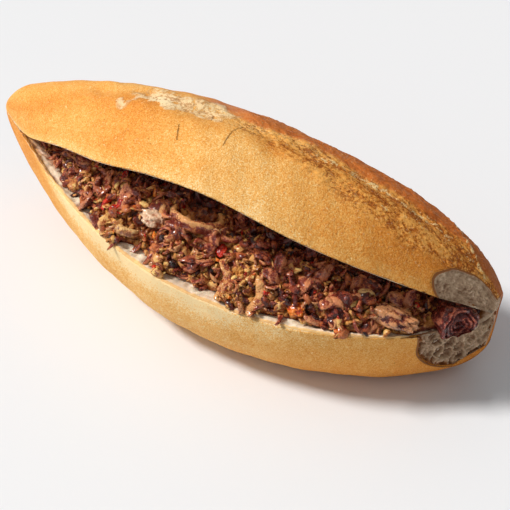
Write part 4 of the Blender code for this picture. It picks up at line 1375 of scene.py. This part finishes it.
def makeCrustMaterial():
    # toast picks a colour from cream to dark brown, and masks lay other colours over it, one after another
    material, tree, shader = startMaterial("baked_crust")
    place = objectPlace(tree)
    marks = ("toast", "blister", "flake", "strip", "pale", "seamAndRidgeLine", "inside")
    toast, blister, flake, strip, pale, seamAndRidgeLine, inside = (markOf(tree, name) for name in marks)
    broad = noiseAt(tree, place, 38.0, 3.0, 0.55)
    middle = noiseAt(tree, place, 160.0, 4.0, 0.6)
    fine = noiseAt(tree, place, 640.0, 4.0, 0.7)
    grain = noiseAt(tree, place, 1700.0, 2.0, 0.6)

    def swing(value, size):
        # noise about nothing, of a given height
        return times(tree, calc(tree, "SUBTRACT", value, 0.5), size)

    # toast is moved by four sizes of noise
    swings = [swing(*size) for size in ((broad, 0.24), (middle, 0.22), (fine, 0.32), (grain, 0.94))]
    level = plus(tree, times(tree, toast, 0.86), 0.12, times(tree, pale, -0.26), *swings)
    colour = colourRamp(tree, calc(tree, "ADD", level, 0.0, clamp=True), [
        (0.0, (1.0, 0.76, 0.41)), (0.13, (0.95, 0.56, 0.185)), (0.26, (0.86, 0.415, 0.096)),
        (0.46, (0.76, 0.262, 0.036)), (0.70, (0.50, 0.142, 0.021)), (1.0, (0.21, 0.052, 0.014))])
    # the blistered band: brown and straw mottles from two sizes of noise, with sharp small cores
    values = {0: place, 1: (0.6, 1.0, 1.0)}
    drawn = addNode(tree, "ShaderNodeVectorMath", values, operation="MULTIPLY").outputs["Vector"]
    mottle = plus(tree, times(tree, noiseAt(tree, drawn, 820.0, 4.0, 0.75), 0.72),
                  times(tree, noiseAt(tree, drawn, 170.0, 3.0, 0.6), 0.50))
    brown = times(tree, between(tree, mottle, 0.60, 0.53), blister)
    straw = times(tree, between(tree, mottle, 0.61, 0.68), blister)
    # cream flakes along the score, broken up by noise with brown chinks between, its pale seam, and a painted
    # highlight along the back ridge
    broken = plus(tree, flake, swing(noiseAt(tree, place, 300.0, 5.0, 0.8), 3.0))
    flaky = times(tree, between(tree, broken, 0.34, 0.74), flake)
    chinks = plus(tree, cellsAt(tree, place, 130.0, "DISTANCE_TO_EDGE"), swing(middle, 1.2), swing(fine, 0.8))
    chink = times(tree, between(tree, chinks, 0.05, -0.04), flake)
    threadAndRidgeHighlight = plus(tree, seamAndRidgeLine, swing(fine, 3.4), swing(middle, 2.4))
    # cracks, on the surface's own map in millimetres
    surface = addNode(tree, "ShaderNodeUVMap", uv_map="surface").outputs["UV"]
    values = {"Vector": surface, "Scale": (50.0, 300.0, 1.0)}
    flat = addNode(tree, "ShaderNodeMapping", values).outputs["Vector"]
    split = 0.0
    for line in cracks:
        for start, end in zip(line, line[1:]):
            values = {"Place": flat, "From": (*start, 0.0), "To": (*end, 0.0), "Width": 0.30}
            split = calc(tree, "MAXIMUM", split, placeGroup(tree, crackLine, values)["Mask"])
    speck = placeGroup(tree, specks, {"Place": place, "Scale": 950.0})
    layers = [
        (brown, 0.76, (0.27, 0.056, 0.010)),
        (straw, 0.90, (1.0, 0.49, 0.115)),
        (strip, 0.86, (0.62, 0.155, 0.030)),  # the smooth dark back
        (flaky, 0.95, (1.0, 0.82, 0.50)),
        (chink, 0.85, (0.50, 0.19, 0.045)),
        # the seam's pale thread, which along the back ridge is a painted highlight
        (between(tree, threadAndRidgeHighlight, 0.72, 1.06), 0.92, (1.0, 0.72, 0.34)),
        (split, 0.66, (0.40, 0.130, 0.026)),
        (speck["Pale"], 0.30, (0.98, 0.74, 0.40)),
        (speck["Dark"], 0.60, (0.26, 0.085, 0.02)),
        (inside, 1.0, (0.92, 0.78, 0.60)),
    ]
    for mask, amount, tint in layers:
        colour = mixColour(tree, times(tree, mask, amount), colour, tint)
    rough = plus(tree, times(tree, strip, -0.18), 0.60, times(tree, middle, 0.14))
    setInputs(tree, shader, {"Base Color": colour, "Roughness": rough, "Specular IOR Level": 0.08})
    heights = ((fine, 1.3), (speck["Height"], 0.6), (grain, 0.9), (times(tree, mottle, blister), 2.6),
               (flaky, 0.9), (split, -1.5))
    addBump(tree, shader, plus(tree, *(times(tree, *height) for height in heights)), 0.80, 0.00042)
    return material


def makeCrumbMaterial(name, stops, rindColour):
    # cream between pores, with painted shade down the pits and in the small pores, darker towards the crust,
    # stained by sauce where the mark says
    material, tree, shader = startMaterial(name)
    place = objectPlace(tree)
    pores = cellsAt(tree, place, 1250.0)
    broad = noiseAt(tree, place, 300.0, 4.0, 0.62)
    # painted shade: the deeper a pit, the darker its colour
    level = plus(tree, times(tree, broad, 0.7), times(tree, markOf(tree, "pit"), 0.75))
    colour = colourRamp(tree, level, stops)
    # painted shade in the hollows of the small pores
    colour = mixColour(tree, times(tree, between(tree, pores, 0.30, 0.10), 0.30), colour, stops[2][1])
    edge = times(tree, markOf(tree, "rind"), calc(tree, "MULTIPLY_ADD", broad, 2.2, -0.1))
    colour = mixColour(tree, between(tree, edge, 0.28, 0.70), colour, rindColour)
    colour = mixColour(tree, times(tree, markOf(tree, "sauce"), 0.80), colour, (0.50, 0.20, 0.09))
    values = {"Base Color": colour, "Roughness": 0.75, "Specular IOR Level": 0.25}
    values.update({"Subsurface Weight": 0.12, "Subsurface Radius": (0.002, 0.0012, 0.0006)})
    setInputs(tree, shader, values)
    addBump(tree, shader, plus(tree, times(tree, pores, 0.8), times(tree, broad, 1.2)), 0.6, 0.0003)
    return material


# the filling's materials

meats = {
    # dark, middle and light colour, then coat and roughness
    "heap_meat": ((0.030, 0.003, 0.002), (0.270, 0.042, 0.008), (0.800, 0.360, 0.085), 0.45, 0.44),
    "chopped_meat": ((0.060, 0.006, 0.003), (0.290, 0.034, 0.010), (0.640, 0.190, 0.060), 0.60, 0.40),
    "golden_meat": ((0.140, 0.020, 0.004), (0.560, 0.150, 0.030), (0.960, 0.560, 0.190), 0.45, 0.44),
    "curled_meat": ((0.150, 0.017, 0.006), (0.500, 0.108, 0.032), (0.940, 0.520, 0.220), 0.55, 0.38),
    "curd_meat": ((0.200, 0.040, 0.006), (0.630, 0.225, 0.042), (0.960, 0.640, 0.220), 0.35, 0.46),
    "shred_meat": ((0.100, 0.008, 0.005), (0.400, 0.056, 0.024), (0.840, 0.350, 0.150), 0.60, 0.40),
    # near-black: char, and painted shade in the heap's gaps
    "char_and_shadow_meat": ((0.016, 0.002, 0.001), (0.095, 0.008, 0.005), (0.320, 0.055, 0.022), 0.70, 0.36),
    "large_meat": ((0.060, 0.005, 0.004), (0.290, 0.034, 0.017), (0.740, 0.280, 0.120), 0.70, 0.34),
    "roll_meat": ((0.110, 0.010, 0.007), (0.310, 0.035, 0.020), (0.600, 0.170, 0.090), 0.60, 0.32),
    "long_meat": ((0.080, 0.009, 0.005), (0.290, 0.055, 0.022), (0.660, 0.290, 0.120), 0.70, 0.32),
    "braised_gut": ((0.180, 0.018, 0.008), (0.430, 0.080, 0.026), (0.800, 0.390, 0.140), 0.65, 0.32),
    "tan_gut": ((0.240, 0.064, 0.016), (0.540, 0.210, 0.058), (0.840, 0.510, 0.200), 0.60, 0.36),
    "pale_fat": ((0.420, 0.130, 0.060), (0.760, 0.400, 0.240), (0.930, 0.640, 0.430), 0.65, 0.34),
    "red_pepper": ((0.300, 0.006, 0.003), (0.700, 0.018, 0.007), (0.900, 0.100, 0.025), 0.90, 0.24),
    "tomato": ((0.560, 0.060, 0.006), (0.900, 0.190, 0.014), (0.980, 0.420, 0.050), 0.80, 0.28),
}


def makeMeatMaterial(name):
    # painted light on crests and folds, and painted shade under the lid, from the marks. Bits differ by their
    # own shade too; larger pieces get painted light on their upper side
    dark, middle, light, coat, rough = meats[name]
    material, tree, shader = startMaterial(name)
    surface = placeGroup(tree, meatSurface, {"Place": objectPlace(tree), "Crest": markOf(tree, "crest")})
    if name in ("roll_meat", "long_meat", "braised_gut", "tan_gut", "pale_fat"):
        # the side mark paints light on the upper side of the larger pieces
        level = calc(tree, "ADD", surface["Light"], times(tree, markOf(tree, "side"), 0.40), clamp=True)
    else:
        share = 0.34 if name == "heap_meat" else 0.62
        shade = times(tree, markOf(tree, "shade"), 1 - share)
        level = plus(tree, times(tree, surface["Light"], share), shade)
    setInputs(tree, shader, {
        "Base Color": colourRamp(tree, level, [(0.08, dark), (0.50, middle), (0.94, light)]),
        "Roughness": plus(tree, rough, times(tree, surface["Wet"], -0.12)),
        "Coat Weight": calc(tree, "MULTIPLY", surface["Wet"], 1.7 * coat, clamp=True),
        "Coat Roughness": 0.13,
        "Specular IOR Level": 0.30,
        "Subsurface Weight": 0.10,
        "Subsurface Radius": (0.0016, 0.0006, 0.0004),
    })
    addBump(tree, shader, surface["Height"], 0.90, 0.00095)
    return material


def makeHerbMaterial():
    material, tree, shader = startMaterial("dried_herb")
    colour = mixColour(tree, markOf(tree, "shade"), (0.16, 0.13, 0.03), (0.045, 0.035, 0.012))
    setInputs(tree, shader, {"Base Color": colour, "Roughness": 0.6})
    return material


crumbStops = [(0.20, (0.95, 0.84, 0.67)), (0.50, (0.88, 0.70, 0.48)), (0.85, (0.62, 0.42, 0.25)),
              (1.0, (0.40, 0.22, 0.11))]
# the cut faces' stops: deep pits reach the dark ones, as painted shade
faceStops = [(0.24, (0.93, 0.73, 0.53)), (0.48, (0.58, 0.40, 0.255)), (0.78, (0.30, 0.17, 0.095)),
             (1.0, (0.15, 0.07, 0.035))]
faceMaterial = makeCrumbMaterial("cut_crumb", faceStops, (0.34, 0.125, 0.035))
finishPiece(crust, makeCrustMaterial(), "baked_crust", "bread")
finishPiece(crumb, makeCrumbMaterial("bread_crumb", crumbStops, (0.94, 0.60, 0.25)), "baked_crust", "bread")
for piece in (lidFace, baseFace):
    finishPiece(piece, faceMaterial, "baked_crust", "bread")
meatOf = {name: makeMeatMaterial(name) for name in meats}
meatOf["dried_herb"] = makeHerbMaterial()
finishPiece(core, meatOf["heap_meat"], "chopped_meat", "chopped_filling")
bitMaterials = {"meat_bits": "chopped_meat", "golden_bits": "golden_meat", "curled_bits": "curled_meat",
                "curd_bits": "curd_meat", "shreds": "shred_meat", "char_and_shadow_bits": "char_and_shadow_meat",
                "large_bits": "large_meat", "red_bits": "red_pepper", "orange_bits": "tomato",
                "herb_bits": "dried_herb"}
for name, piece in bits.items():
    finishPiece(piece, meatOf[bitMaterials[name]], "chopped_meat", "chopped_filling")
# the slots of the larger pieces, whose materials have the same names but for the long piece
slots = {"end_roll": "roll_meat", "long_piece": "roll_meat", "gut_ring": "braised_gut", "gut_curl": "tan_gut",
         "tan_slice": "tan_gut", "oval_piece": "tan_gut", "fat_piece": "pale_fat",
         "pepper_piece": "red_pepper", "tomato_piece": "tomato", "gut_strip_1": "braised_gut",
         "gut_strip_2": "braised_gut", "pepper_strip_1": "red_pepper", "pepper_strip_2": "red_pepper"}
for node, slot in slots.items():
    finishPiece(pieces[node], meatOf["long_meat" if node == "long_piece" else slot], slot, node)
print("materials made")


# floor, light and camera

studio = {
    "azimuth": radians(31.57),
    "elevation": radians(44.78),
    "distance": 0.6144,
    "aim": (0.0, 0.0, 0.037),
    "lens": 88.24,
    "shift": (0.1014, -0.0279),
    "floorColour": (0.815, 0.832, 0.862),
    "sunFrom": (-0.88, -0.40, 1.08),
    "sunPower": 3.15,
    "sunAngle": radians(11),
    "skyBright": 0.50,
    "skyDark": 0.05,
}


def addSun():
    # the key light, far away and as wide as a soft box
    light = bpy.data.lights.new("key", "SUN")
    light.energy = studio["sunPower"]
    light.angle = studio["sunAngle"]
    light.color = (1.0, 0.97, 0.93)
    addObject("key", light).rotation_euler = Vector(studio["sunFrom"]).to_track_quat("Z", "Y").to_euler()


def addFloor():
    mesh = bpy.data.meshes.new("floor")
    far = 4.0
    mesh.from_pydata([(-far, -far, 0), (far, -far, 0), (far, far, 0), (-far, far, 0)], [], [(0, 1, 2, 3)])
    floor = addObject("floor", mesh)
    material, tree, shader = startMaterial("pale_floor")
    setInputs(tree, shader, {"Base Color": studio["floorColour"], "Roughness": 0.55})
    mesh.materials.append(material)


def addWorld():
    # a pale room that is brighter towards the key light and dim on the other side
    world = bpy.data.worlds.new("studio")
    world.use_nodes = True
    tree = world.node_tree
    place = addNode(tree, "ShaderNodeTexCoord").outputs["Generated"]
    values = {0: place, 1: Vector(studio["sunFrom"]).normalized()}
    side = addNode(tree, "ShaderNodeVectorMath", values, operation="DOT_PRODUCT").outputs["Value"]
    dark, bright = [studio["skyDark"]] * 3, [studio["skyBright"]] * 3
    colour = mixColour(tree, between(tree, side, -0.35, 0.95), dark, bright)
    setInputs(tree, tree.nodes["Background"], {"Color": colour})
    bpy.context.scene.world = world


def addCamera():
    azimuth, elevation = studio["azimuth"], studio["elevation"]
    flat = math.cos(elevation)
    out = Vector((math.sin(azimuth) * flat, -math.cos(azimuth) * flat, math.sin(elevation)))
    camera = bpy.data.cameras.new("camera")
    camera.lens = studio["lens"]
    camera.sensor_width = 36.0
    camera.shift_x, camera.shift_y = studio["shift"]
    made = addObject("camera", camera)
    made.location = Vector(studio["aim"]) + Vector(placeShift) + out * studio["distance"]
    made.rotation_euler = (-out).to_track_quat("-Z", "Y").to_euler()
    bpy.context.scene.camera = made


addFloor()
addWorld()
addSun()
addCamera()
bpy.context.scene.view_settings.view_transform = "Standard"
print("floor, light and camera set")
